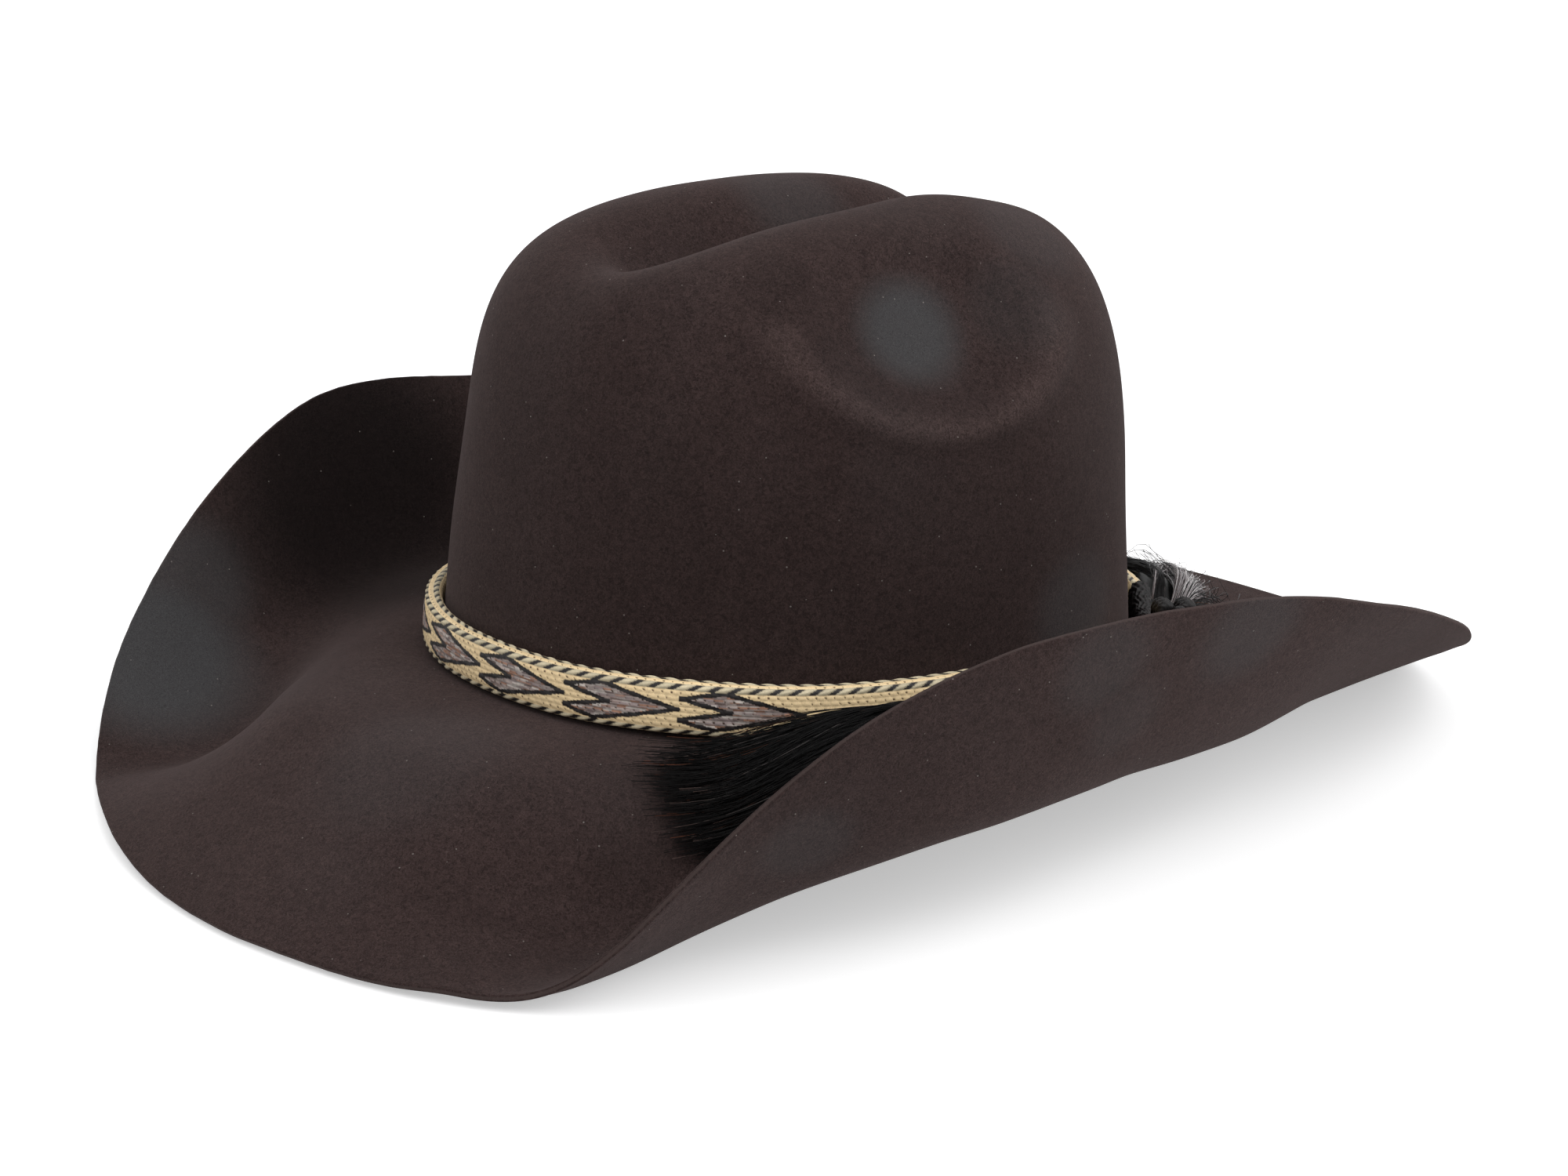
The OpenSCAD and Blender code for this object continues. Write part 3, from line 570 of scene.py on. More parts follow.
FELT = felt_material()
HITCHED = tinted_material("hitched_horsehair", rough=0.5, fibre_scale=3200, depth=0.00006, sheen=0.03,
                          specular=0.3, contrast=0.14)
BRAID = tinted_material("braided_black_horsehair", rough=0.42, fibre_scale=2600, depth=0.00008, sheen=0.02,
                        specular=0.25, contrast=0.5)
HAIR = tinted_material("loose_horsehair", rough=0.3, fibre_scale=900, depth=0.00002, sheen=0.0, specular=0.1,
                       contrast=0.3)
LEATHER = leather_material()
TAPE = woven_material("black_tape", (0.045, 0.04, 0.04), (0.012, 0.011, 0.011), 0.9)
RIBBON = woven_material("black_ribbon", (0.05, 0.045, 0.045), (0.015, 0.013, 0.013), 0.7, rough=0.4)
TAG = woven_material("blank_woven_tab", (0.72, 0.69, 0.62), (0.5, 0.47, 0.41), 0.7, rough=0.6)
SATIN = satin_material("champagne_satin", (0.30, 0.23, 0.15))
PIPING = satin_material("dark_piping", (0.035, 0.028, 0.024))
THREAD = woven_material("waxed_thread", (0.62, 0.52, 0.36), (0.36, 0.28, 0.18), 0.5, rough=0.5)
REED = woven_material("reed", (0.62, 0.58, 0.48), (0.5, 0.46, 0.36), 1.2, rough=0.6)


# ---- felt ----

ROUND = np.arange(512) * 360 / 512
# The top row is a hair's breadth off the middle, and between the other two the felt is as in the CAD model
TOP_ROW, TRUE_FROM, TRUE_TO = 0.02, 12.5, BRIM_START + 2.5
felt_rows = np.concatenate([np.linspace(TOP_ROW, CROWN_ROWS, 150),
                            CROWN_ROWS + np.linspace(0, BEND_ROWS, 13)[1:],
                            BRIM_START + np.linspace(0, BRIM_ROWS, 130)[1:]])
# The hand-cut edge wanders: at an angle, over a half width, it runs out by so much and lifts by so much
EDGE_WAVES = [(1, 8, 2.4, 0), (29, 6, 0, 1.8), (40, 6, 0, -2.2), (56, 9, 0, 2.6), (74, 8, 0, -2.6),
              (105, 8, -1.1, 0), (129, 9, 2.2, 0), (143, 10, 0, 1.4), (278, 7, 2.0, 0), (293, 9, -3.0, 0),
              (314, 8, 1.7, 0), (338, 13, -3.8, 0)]
# Places where the blocked felt bulges or sinks: centre, radius and shift
BUMPS = [((29, 14, 127), 22, (0, 0, 2.4)), ((-43, -68, 103), 28, (-0.9, -1.2, 0.9)),
         ((55, 76, 45), 30, (-0.85, -0.95, 0)), ((-50, -73, 62), 24, (0.8, 1.2, 0)),
         ((79, -14, 76), 15, (0.7, 0, 0.3)), ((119, 86, -3), 30, (0, 0, 1.5))]
LIP_Y, LIP_Z, LIP_HALF_LEN, LIP_HALF_HIGH, DENT_FLOOR, LIP_PROUD = -14, 103, 44, 26, 4.8, 2.0
# The cut edge: the felt thins towards it from this share of the brim, down to this share of its thickness
THIN_FROM, THIN_TO, EDGE_PROUD = 0.955, 0.66, 0.35
# Where brushed-up nap and painted sheen make the felt greyer and lighter, and where painted shade darkens it:
# centre, radius and strength
BLOOM_AND_PAINTED_SHEEN_SPOTS = [((61, -16, 100.5), 14.5, 0.9), ((-120, -136, -12), 27, 0.95), ((-131, -118, 4), 20, 0.6),
          ((104, -90, 20), 22, 0.35), ((128, 10, 35), 20, 0.35), ((118, 100, 40), 26, 0.5),
          ((51, 34, 122), 16, 0.25), ((-20, 12, 123), 16, 0.35), ((84, 31, 24), 17, 0.45),
          ((70, 17, 108), 15, 0.22), ((20, -140, -8), 24, 0.2), ((156, -35, 38), 14, 0.3),
          ((157, 17, 38), 16, 0.4), ((151, -22, 22), 12, 0.2), ((134, -108, 1), 12, 0.3)]
# painted shade: in the far trough, on the crown's front and in a hollow of the dent
PAINTED_SHADE_SPOTS = [((-146, -52, 22), 46, 1.0), ((-132, -40, -2), 40, 0.9), ((-20, -84, 70), 40, 0.2),
          ((50, -50, 113), 11, 0.3)]


def edge_waves(around):
    """How far the edge runs out and lifts."""
    out, up = 0, 0
    for angle, half, far, high in EDGE_WAVES:
        here = np.exp(-(((around - angle + 180) % 360 - 180) / half) ** 2)
        out, up = out + far * here, up + high * here
    return out, up


def from_lip(p):
    """0 in the dent's middle to 1 on its lip, 1 on the wearer's left, and 1 in the dent's lower half."""
    r = np.hypot((p[..., 1] - LIP_Y) / LIP_HALF_LEN, (p[..., 2] - LIP_Z) / LIP_HALF_HIGH)
    return r, ease((p[..., 0] - 20) / 20), ease((LIP_Z + 8 - p[..., 2]) / 14)


def dent_lip(p):
    """The dent on the wearer's left has a floor that is pushed in and a rolled lip below it."""
    r, left, low = from_lip(p)
    floor = -DENT_FLOOR * (1 - ease((r - 0.45) / 0.5))
    return left * (floor + LIP_PROUD * low * np.exp(-((r - 1) / 0.14) ** 2))


def felt_middle(rows, around):
    """The middle surface with the unevenness of a hand-blocked hat, still true where the band lies."""
    row = np.asarray(rows)[:, None] + 0 * around
    flat = middle(row, around)
    share = np.clip((row - BRIM_START) / BRIM_ROWS, 0, 1)
    outward = unit(edge(around) - brim(around, 0.9 + 0 * around))
    run_out, rise_up = edge_waves(around)
    flat = flat + col(ease((share - 0.25) / 0.75) * run_out) * outward
    flat = flat + col(ease((share - 0.3) / 0.7) * rise_up) * UP
    for centre, radius, shift in BUMPS:
        near = np.exp(-(np.linalg.norm(flat - np.array(centre), axis=-1) / radius) ** 2)
        flat = flat + col(near) * np.array(shift)
    flat[..., 0] += dent_lip(flat)
    out = normals_of(flat)
    uneven = np.maximum(ease((TRUE_FROM - row) / 3), ease((row - TRUE_TO) / 4))
    wave = 0.9 * noise(flat, 42, 1) + 0.3 * noise(flat, 17, 2)
    return flat + col(wave * uneven * 0.55) * out


def spotted(p, total, spots, span):
    """The larger of a total and round spots that fade out over a span of their radius."""
    for centre, radius, strength in spots:
        d = np.linalg.norm(p - np.array(centre), axis=-1) / radius
        total = np.maximum(total, strength * fade(d, span))
    return total


def bloom_and_painted_sheen_of(p):
    """Where brushed-up nap and painted sheen make the felt greyer and lighter, in spots that are a little
    less high than wide.
    """
    squash = np.array([1, 1, 1.15])
    spots = [(np.array(centre) * squash, radius, strength) for centre, radius, strength in BLOOM_AND_PAINTED_SHEEN_SPOTS]
    return spotted(p * squash, 0.10 * np.clip(noise(p, 34, 5), 0, 1), spots, (0.55, 1.5))


def painted_lip_highlight_of(p):
    """Painted highlight: a lighter crescent on the lip below the dent, where it faces up into the light."""
    r, left, low = from_lip(p)
    return left * low * np.exp(-((r - 0.96) / 0.12) ** 2)


def patches_and_painted_shade_of(p):
    """Painted shade in the far trough, inside the dent above its lip, on the crown's front and low on the
    crown, over faint random darker patches.
    """
    total = 0.12 * np.clip(noise(p, 26, 15), 0, 1)
    r, left, low = from_lip(p)
    # painted shade in the dent just inside its lower lip
    total = total + 0.16 * left * low * np.exp(-((r - 0.7) / 0.16) ** 2)
    beside_foot = np.hypot(p[..., 0] / FOOT_X, p[..., 1] / FOOT_Y) < 1.04
    # painted shade low on the crown, deeper towards its foot
    total = total + 0.2 * beside_foot * ease((120 - p[..., 2]) / 50)
    return spotted(p, total, PAINTED_SHADE_SPOTS, (0.5, 1.5))


def make_felt():
    mid = felt_middle(felt_rows, ROUND)
    out = normals_of(mid)
    outward = unit(mid[-1] - mid[-2])
    near_edge = ease(((felt_rows - BRIM_START) / BRIM_ROWS - THIN_FROM) / (1 - THIN_FROM))
    half = FELT_T / 2 * mix(1, THIN_TO, near_edge)[:, None, None]
    frayed = EDGE_PROUD * col(1 + 0.35 * noise(mid[-1], 3.1, 9))
    turn = np.radians(np.linspace(90, -90, 11))[1:-1]
    rim = [mid[-1] + half[-1] * math.sin(t) * out[-1] + frayed * math.cos(t) * outward for t in turn]
    rings = np.concatenate([mid + half * out, rim, (mid - half * out)[::-1]])
    points, faces = capped(rings)
    cut = np.zeros(rings.shape[:2])
    cut[len(felt_rows) + 3:len(felt_rows) + 6] = 1
    cut = np.append(cut.reshape(-1), [0, 0])
    marks = {"bloom_and_painted_sheen": bloom_and_painted_sheen_of(points), "painted_lip_highlight": painted_lip_highlight_of(points), "patches_and_painted_shade": patches_and_painted_shade_of(points), "cut": cut}
    build("felt_shell", points, [f[:, ::-1] for f in faces], FELT, "hat", "felt_body", "felt", values=marks)


make_felt()


# ---- sweatband, reed, tape and their sewing ----

CHANNEL_W = max(REED_D, SWEAT_T) + SEAT
CHANNEL_OFF = -(FELT_T / 2 + SEAT + TAPE_T + CHANNEL_W / 2)
CHANNEL_BOTTOM = -2
REED_Z = CHANNEL_BOTTOM + TAPE_T + SEAT / 2 + REED_D / 2
SWEAT_LOW = REED_Z + REED_D / 2 + SEAT / 2
SWEAT_FACE = CHANNEL_OFF - SWEAT_T / 2
TAPE_FACE = CHANNEL_OFF - CHANNEL_W / 2 - TAPE_T


def closed_faces(rings):
    """Faces of rings that close on themselves both ways."""
    return [grid_faces(len(rings), rings.shape[1], closed_rows=True)[:, ::-1]]


def ring_loop(name, outline, mat, node, slot, wobble=None):
    """A closed outline of (height, offset) pairs swept round the wall. It runs up its inner side."""
    rings = np.stack([wall(ROUND, z, off) for z, off in outline])
    if wobble is not None:
        rings = rings + wobble(rings)
    build(name, rings, closed_faces(rings), mat, "hat", node, slot)


def strip_outline(low, high, inner, outer, round_by, steps):
    """The outline of a thin standing strip with rounded edges, from its foot on the inner side up."""
    up = np.linspace(low + round_by, high - round_by, steps)
    centre, half = (inner + outer) / 2, (outer - inner) / 2
    turn = np.radians(np.linspace(0, 180, 7)[1:-1])
    top = [(high - round_by + round_by * math.sin(t), centre - half * math.cos(t)) for t in turn]
    bottom = [(low + round_by - round_by * math.sin(t), centre + half * math.cos(t)) for t in turn]
    return [(z, inner) for z in up] + top + [(z, outer) for z in up[::-1]] + bottom


def make_sweatband():
    outline = strip_outline(SWEAT_LOW, SWEAT_LOW + SWEAT_H, SWEAT_FACE, SWEAT_FACE + SWEAT_T, 0.4, 30)

    def wobble(rings):
        free = ease((rings[..., 2] - 12) / 30)
        lean = -0.8 * free * (0.6 + 0.4 * noise(rings * np.array([1, 1, 0.2]), 24, 21))
        return col(lean) * foot_out(ROUND)
    ring_loop("sweatband_leather", outline, LEATHER, "sweatband", "leather", wobble)
    turn = np.radians(np.arange(16) * 22.5)
    reed = [(REED_Z + REED_D / 2 * math.sin(t), CHANNEL_OFF + REED_D / 2 * math.cos(t)) for t in turn]
    ring_loop("reed_rod", reed[::-1], REED, "sweatband_reed", "reed")


def make_tape():
    outer = CHANNEL_OFF + CHANNEL_W / 2 + TAPE_T
    half = (outer - TAPE_FACE) / 2
    fold = CHANNEL_BOTTOM + 1.6
    turn = np.radians(np.linspace(0, 180, 15))
    rise = np.linspace(REED_Z + TAPE_H, fold, 8)
    around = [(z, TAPE_FACE) for z in rise]
    around += [(fold - 1.6 * math.sin(t), CHANNEL_OFF - half * math.cos(t)) for t in turn[1:-1]]
    around += [(z, outer) for z in rise[::-1]]
    inside = [(z, off + (TAPE_T if off < CHANNEL_OFF else -TAPE_T)) for z, off in around]
    inside = [(max(z, CHANNEL_BOTTOM + TAPE_T), off) for z, off in inside]
    ring_loop("reed_tape_fold", (around + inside[::-1])[::-1], TAPE, "reed_tape", "tape")


def thread_run(centre, along, out, length, rise=0.35):
    """Rings of one stitch that dips into the cloth at both ends."""
    t = np.linspace(-1, 1, 9)
    mids = centre + along * col(t * length / 2) + out * col(rise * (1 - t ** 2) - rise * 0.4)
    turn = np.arange(8) * 45.0
    radius = THREAD_D / 2 * np.sqrt(np.clip(1.02 - t ** 4, 0.05, 1))[:, None]
    return rings_round(mids, out, np.cross(along, out), radius * sind(turn), radius * cosd(turn))


def join(parts):
    """Points and faces of several capped tubes in one."""
    points, faces, start = [], {}, 0
    for p, fs in parts:
        points.append(p)
        for f in fs:
            faces.setdefault(f.shape[1], []).append(f + start)
        start += len(p)
    return np.concatenate(points), [np.concatenate(f) for f in faces.values()]


def make_stitching():
    parts = []
    for k in range(STITCH_COUNT):
        a = k * 360 / STITCH_COUNT
        out = foot_out(a)
        centre = wall(a, REED_Z + TAPE_H * 0.6, TAPE_FACE - SEAT - THREAD_D / 2 + 0.1)
        along = unit(np.cross(UP, out) + 0.08 * UP)
        parts.append(capped(thread_run(centre, along, -out, STITCH_LEN)))
    build("sweatband_stitches", *join(parts), THREAD, "hat", "sweatband_stitching", "thread")


def make_back_seam():
    """Crosses up the back of the leather. The second stitch of each lies over the first."""
    parts = []
    out = foot_out(180)
    low = REED_Z + TAPE_H + BOW_H + 2
    crosses = 5
    step = (SWEAT_LOW + SWEAT_H - low) / crosses
    for k in range(crosses):
        centre = wall(180, low + step * (k + 0.5), SWEAT_FACE - 1.0 - THREAD_D / 2)
        for tilt, rise in ((-35, 0.3), (35, 0.7)):
            along = np.cross(UP, out) * cosd(tilt) + UP * sind(tilt)
            parts.append(capped(thread_run(centre, along, -out, STITCH_LEN * 1.4, rise)))
    build("back_seam_crosses", *join(parts), THREAD, "hat", "back_seam", "thread")


make_sweatband()
make_tape()
make_stitching()
make_back_seam()


# ---- bow and tag ----

RIBBON_HALF = 0.275
# Corners of the ribbon's sections: how far across and how far out, in half widths and half thicknesses
LOOP_SECTION = ((-1, -1), (-0.5, -1.1), (0, -1.2), (0.5, -1.1), (1, -1),
                (1, 1), (0.5, 0.9), (0, 0.8), (-0.5, 0.9), (-1, 1))
TAIL_SECTION = ((-1, -1), (0, -1.2), (1, -1), (1, 1), (0, 0.8), (-1, 1))


def ribbon(centre, wide, across, out, section, side):
    rings = np.stack([centre + col(wide) * across * k + out * RIBBON_HALF * m for k, m in section], 1)
    return capped(rings if side > 0 else rings[:, ::-1])


def make_bow():
    z0 = REED_Z + TAPE_H + BOW_H / 2 + 1
    off = SWEAT_FACE - 1.6
    parts = []
    for side in (-1, 1):
        t = np.linspace(0, 1, 28)
        swing = np.sin(t * np.pi)
        u = side * (BOW_W / 4) * (1 - np.cos(t * 2 * np.pi)) * 0.98
        a = 180 + np.degrees(u / FOOT_Y * 1.05)
        puff = 0.5 + swing ** 2 * np.where(t < 0.5, -0.4, 0.9)
        wide = BOW_H / 2 * (0.32 + 0.68 * swing ** 1.2)
        parts.append(ribbon(wall(a, z0, off - puff * 0.9), wide, UP, foot_out(a), LOOP_SECTION, side))
        t = np.linspace(0, 1, 12)
        a = 180 + side * np.degrees((1 + 6.5 * t) / FOOT_Y)
        out = foot_out(a)
        centre = wall(a, z0 - 1 - 4.2 * t, off - 0.2 - 0.5 * np.sin(t * 3))
        lean = unit(UP + side * 0.5 * np.cross(UP, out))
        parts.append(ribbon(centre, 1.2 + 1.3 * t, lean, out, TAIL_SECTION, side))
    turn = np.linspace(0, 360, 25)[:-1]
    v = np.linspace(-1, 1, 15)
    out = foot_out(180)
    radius = (np.sqrt(np.clip(1.03 - v ** 6, 0.05, 1)) * (1 + 0.12 * v ** 2))[:, None]
    middle_of_knot = wall(180, z0, off - 0.9) + col(v * BOW_H * 0.3) * UP
    parts.append(capped(rings_round(middle_of_knot, np.cross(UP, out), -out, radius * 2.3 * cosd(turn),
                                    radius * 1.2 * sind(turn))))
    build("ribbon_bow", *join(parts), RIBBON, "hat", "sweatband_bow", "ribbon")


def make_tag():
    """A blank woven tab with hemmed ends and a slight curl."""
    u = np.linspace(-1, 1, 33)[:, None]
    v = np.linspace(-1, 1, 25)
    rows, cols = len(u), len(v)
    a = 180 + math.degrees(TAG_W / FOOT_X) + u * math.degrees(TAG_W / 2 / FOOT_Y) + 0 * v
    z = SWEAT_LOW + SWEAT_H * 0.6 + v * TAG_H / 2 + 0 * u
    curl = 0.4 * np.abs(u) ** 4 + 0.35 * np.clip(-v, 0, 1) ** 3
    hem = 0.12 * (np.abs(u) > 0.86)
    face = wall(a, z, SWEAT_FACE - 1.15 - curl - hem)
    back = wall(a, z, SWEAT_FACE - 0.75 - curl)
    count = rows * cols
    front_faces = grid_faces(rows, cols, closed_cols=False)
    number = np.arange(count).reshape(rows, cols)
    border = np.concatenate([number[0], number[1:, -1], number[-1, -2::-1], number[-2:0:-1, 0]])
    after = np.roll(border, -1)
    side = np.stack([border, after, after + count, border + count], -1)
    build("blank_tag", np.stack([face, back]), [front_faces, front_faces[:, ::-1] + count, side], TAG, "hat",
          "size_tag", "tag")


make_bow()
make_tag()


# ---- liner ----

LINER_OFF = -(FELT_T / 2 + SEAT)


def make_liner():
    rows = np.linspace(LINER_SEAM_ROW, LINER_LOW_ROW, 60)
    mid = felt_middle(rows, ROUND)
    out = normals_of(mid)
    down = np.linspace(0, 1, 60)[:, None]
    pleats = 0.5 + 0.5 * np.sin(np.radians(ROUND * 48) + 2.2 * noise(mid, 30, 31))
    gather = 0.5 * pleats * (0.3 + 0.7 * (1 - down)) + 0.25 * (1 + noise(mid, 14, 32))
    face = mid + col(LINER_OFF - SATIN_T * 0.5 - gather) * out
    back = mid + LINER_OFF * out
    rings = np.concatenate([back, face[::-1]])
    build("liner_side_satin", rings, closed_faces(rings), SATIN, "hat", "liner_side", "satin")
    rows = np.linspace(TOP_ROW, LINER_SEAM_ROW, 90)
    mid = felt_middle(rows, ROUND)
    out = normals_of(mid)
    slack = 0.25 * (1 + noise(mid, 26, 33)) + 0.12 * (1 + noise(mid, 9, 34))
    rings = np.concatenate([mid + LINER_OFF * out, (mid + col(LINER_OFF - SATIN_T - slack) * out)[::-1]])
    points, faces = capped(rings)
    build("liner_tip_satin", points, [f[:, ::-1] for f in faces], SATIN, "hat", "liner_tip", "satin")
    around = np.arange(1536) * 360 / 1536
    near = felt_middle(np.array([LINER_SEAM_ROW - 0.1, LINER_SEAM_ROW, LINER_SEAM_ROW + 0.1]), around)
    out = normals_of(near)[1]
    centre = near[1] + (LINER_OFF - SATIN_T - SEAT - PIPING_D / 2 - 0.2) * out
    along = unit(np.roll(centre, -1, 0) - np.roll(centre, 1, 0))
    down = np.cross(out, along)
    turn = np.arange(20)[:, None] * 18.0
    twist = 1 + 0.06 * sind(turn * 2 + np.arange(len(around)) * 30)
    rings = centre + PIPING_D / 2 * col(twist) * (out * col(cosd(turn)) + down * col(sind(turn)))
    faces = grid_faces(len(rings), len(around), closed_rows=True)
    build("liner_piping_cord", rings, [faces], PIPING, "hat", "liner_piping", "piping")


make_liner()


# ---- hitched band ----

CREAM = np.array([1.0, 0.765, 0.445])
PALE = np.array([0.74, 0.64, 0.44])
BLACK = np.array([0.009, 0.007, 0.007])
DOT = np.array([0.10, 0.05, 0.022])
STRANDS = np.array([[0.42, 0.35, 0.32], [0.30, 0.22, 0.20], [0.64, 0.57, 0.52], [0.45, 0.24, 0.16],
                    [0.36, 0.29, 0.28], [0.52, 0.42, 0.38]])
BAND_OFF = FELT_T / 2 + LIFT_GAP + BAND_T / 2
BAND_MID = BAND_Z + BAND_H / 2
HITCH, ROW_W = 2.4, 1.42
STREAK, STREAK_W = 2.6, 0.36
TICK_PITCH, TICK_W, TICK_LIGHT = 5.05, 1.8, 0.6
MOTIF_PITCH, MOTIF_FIRST, MOTIF_COUNT = 31.5, 81.1, 12
MOTIF = np.array([(0.4, 2.8), (11.5, 4.9), (31.6, 0), (9.2, -4.9), (-0.4, -2.8), (13.4, 0)], float)


def section_points(half_t, half_h, corner, count):
    """A rounded section at even steps, from the middle of its inner side over its top and back below."""
    t = np.linspace(180, -180, 2000)
    x, z = half_t * signed_pow(cosd(t), corner), half_h * signed_pow(sind(t), corner)
    run = length_along(np.stack([x, z], -1))
    s = np.arange(count) * run[-1] / count
    return np.interp(s, run, x), np.interp(s, run, z), s, run[-1]


def segment_distance(u, v, a, b):
    d = b - a
    t = np.clip(((u - a[0]) * d[0] + (v - a[1]) * d[1]) / (d @ d), 0, 1)
    return np.hypot(u - a[0] - t * d[0], v - a[1] - t * d[1])


def motif_at(u, v):
    """Distance to the outline of the arrow motif, negative inside it."""
    best, inside = np.full(np.broadcast(u, v).shape, 99.0), np.zeros(np.broadcast(u, v).shape, bool)
    for a, b in zip(MOTIF, np.roll(MOTIF, -1, 0)):
        best = np.minimum(best, segment_distance(u, v, a, b))
        crosses = (a[1] > v) != (b[1] > v)
        with np.errstate(divide="ignore", invalid="ignore"):
            at = a[0] + (v - a[1]) / (b[1] - a[1]) * (b[0] - a[0])
        inside ^= crosses & (u < at)
    return np.where(inside, -best, best)


def cell_noise(i, j, seed):
    lattice = np.random.default_rng(seed).uniform(0, 1, (257, 61))
    return lattice[np.asarray(i, int) % 257, np.asarray(j, int) % 61]


def hitch_pattern(u, s, around):
    """Height and colour of the hitched surface at u along the tube and s round it, from its inner side."""
    top, front, bottom = around / 4, around / 2, around * 3 / 4
    v = front - s
    row = np.floor(v / ROW_W + 0.5)
    in_row = v / ROW_W + 0.5 - row
    phase = u / HITCH + np.where(row % 2 == 0, 0.0, 0.5) + 0.3 * (in_row - 0.5)
    cell = np.floor(phase)
    along = phase - cell
    ridge = np.sin(np.pi * np.clip(in_row, 0, 1)) ** 0.6
    bead = np.sin(np.pi * np.clip(along, 0, 1)) ** 0.3
    dot = (np.minimum(along, 1 - along) * HITCH < 0.24) & (np.abs(in_row - 0.5) * ROW_W < 0.2)
    dot = dot & (cell_noise(cell, row, 5) > 0.22)
    height = 0.2 * ridge * bead - 0.12 - 0.1 * dot
    # the arrows of fine grey and brown hairs, outlined in black
    seen_u = u + 0.3 * (cell_noise(cell, row, 11) - 0.5)
    seen_v = row * ROW_W * 0.15 + v * 0.85
    number = np.floor((seen_u + MOTIF_FIRST) / MOTIF_PITCH)
    distance = np.full(np.broadcast(u, s).shape, 99.0)
    for k in (0, 1):
        spot = seen_u + MOTIF_FIRST - (number - k) * MOTIF_PITCH
        use = (number - k <= 0) & (number - k > -MOTIF_COUNT)
        distance = np.minimum(distance, np.where(use, motif_at(spot, seen_v), 99.0))
    streak_row = np.floor(v / STREAK_W)
    streak = np.floor(u / STREAK + 7 * cell_noise(streak_row, 0 * streak_row, 9))
    pick = (cell_noise(streak, streak_row, 3) * len(STRANDS)).astype(int) % len(STRANDS)
    # the cream is painted darker into the grooves between rows, as shade
    tint = CREAM * col(0.96 + 0.08 * cell_noise(cell, row, 4) - 0.10 * (1 - ridge))
    tint = np.where(col(dot), DOT, tint)
    # the arrows' fill is painted darker between the rows, as shade
    fill = STRANDS[pick] * col(0.7 + 0.6 * cell_noise(streak, streak_row, 6)) * col(0.45 + 0.55 * ridge)
    tint = np.where(col(distance < 0), np.where(col(dot), DOT * 0.5, fill), tint)
    tint = np.where(col(np.abs(distance) < 0.56), BLACK * col(0.8 + 0.8 * cell_noise(cell, row, 7)), tint)
    # rows of slanting ticks on the corners
    for centre, lean in ((top + 2.6, -1), (top - 0.6, 1), (bottom - 2.3, -1), (bottom + 0.9, 1)):
        w = (s - centre) / TICK_W
        use = np.abs(w) < 0.5
        tick = (u - lean * w * 2.9) / TICK_PITCH + 0.37 * centre
        step = tick - np.floor(tick)
        light = step < TICK_LIGHT
        local = np.where(light, step / TICK_LIGHT, (step - TICK_LIGHT) / (1 - TICK_LIGHT))
        swell = np.sqrt(np.clip(1 - (2 * local - 1) ** 2, 0, 1)) * np.cos(np.pi * w * 0.9)
        height = np.where(use, np.where(light, 0.42, 0.12) * swell - 0.1, height)
        tone = 0.9 + 0.2 * cell_noise(np.floor(tick), 0 * s + int(centre), 8)
        # the pale ticks are painted darker where their swell falls away, as shade
        paint = np.where(col(light), PALE * col(tone - 0.4 * (1 - swell)), BLACK * 1.2)
        tint = np.where(col(use), paint, tint)
    return height, tint


def make_band():
    span = BAND_FRONT_END + 360 - BAND_BACK_END
    fine = np.linspace(0, span, 4000)
    track = wall(BAND_FRONT_END - fine, BAND_MID, BAND_OFF)
    run = length_along(track)
    u = np.linspace(0, run[-1], int(run[-1] / 0.27))
    a = BAND_FRONT_END - np.interp(u, run, fine)
    slack = 0.18
    x, z, s, around = section_points(BAND_T / 2 - slack, BAND_H / 2 - slack, 0.55, 138)
    height, tint = hitch_pattern(-u[:, None], s[None, :], around)
    along_x, along_z = (np.gradient(np.append(v, v[0]))[:-1] for v in (x, z))
    length = np.hypot(along_x, along_z)
    # the stitches stand up on the outer side and stay flat on the side that lies on the crown
    outer = ease((s - 2) / 6) * ease((around - 2 - s) / 6)
    lift_by = height * np.maximum(outer, 0.15)
    lifted_x = x - along_z / length * lift_by
    lifted_z = z + along_x / length * lift_by
    uneven = 0.25 * noise(vec(u, 0, 0), 40, 12)
    out = foot_out(a)
    rings = rings_round(wall(a, BAND_MID, BAND_OFF), out, UP, lifted_x, lifted_z + uneven[:, None])
    # the wall leans inwards above the foot, and the tube leans with it
    lean = wall(a, BAND_Z + BAND_H, BAND_OFF) - wall(a, BAND_Z + 0.1, BAND_OFF)
    lean = (lean * out).sum(-1) / BAND_H
    rings = rings + out[:, None] * col(lean[:, None] * lifted_z)
    points, faces = capped(rings)
    colours = with_ends(np.broadcast_to(tint, rings.shape))
    build("hitched_band", points, [f[:, ::-1] for f in faces], HITCHED, "band", "hatband", "hitched_hair",
          colours=colours)


make_band()


# ---- closure: wraps, cords and slide knot ----

CORD_OFF = FELT_T / 2 + LIFT_GAP + SLIDE_WALL + CORD_GAP + CORD_D / 2 + 0.75
CORD_STEP = CORD_D + 1
BALL_R = CORD_D * 0.8


def beside(a, off):
    return foot(a) + off * foot_out(a)


def centre_of(a, b, c):
    ab, ac = b - a, c - a
    d = 2 * (ab[0] * ac[1] - ab[1] * ac[0])
    p, q = ab @ ab, ac @ ac
    return a + np.array([ac[1] * p - ab[1] * q, ab[0] * q - ac[0] * p, 0]) / d


ARC_POINTS = [beside(a, CORD_OFF) for a in CORD_ARC_AT]
ARC_CENTRE = centre_of(*ARC_POINTS)
ARC_R = np.linalg.norm(ARC_POINTS[1] - ARC_CENTRE)


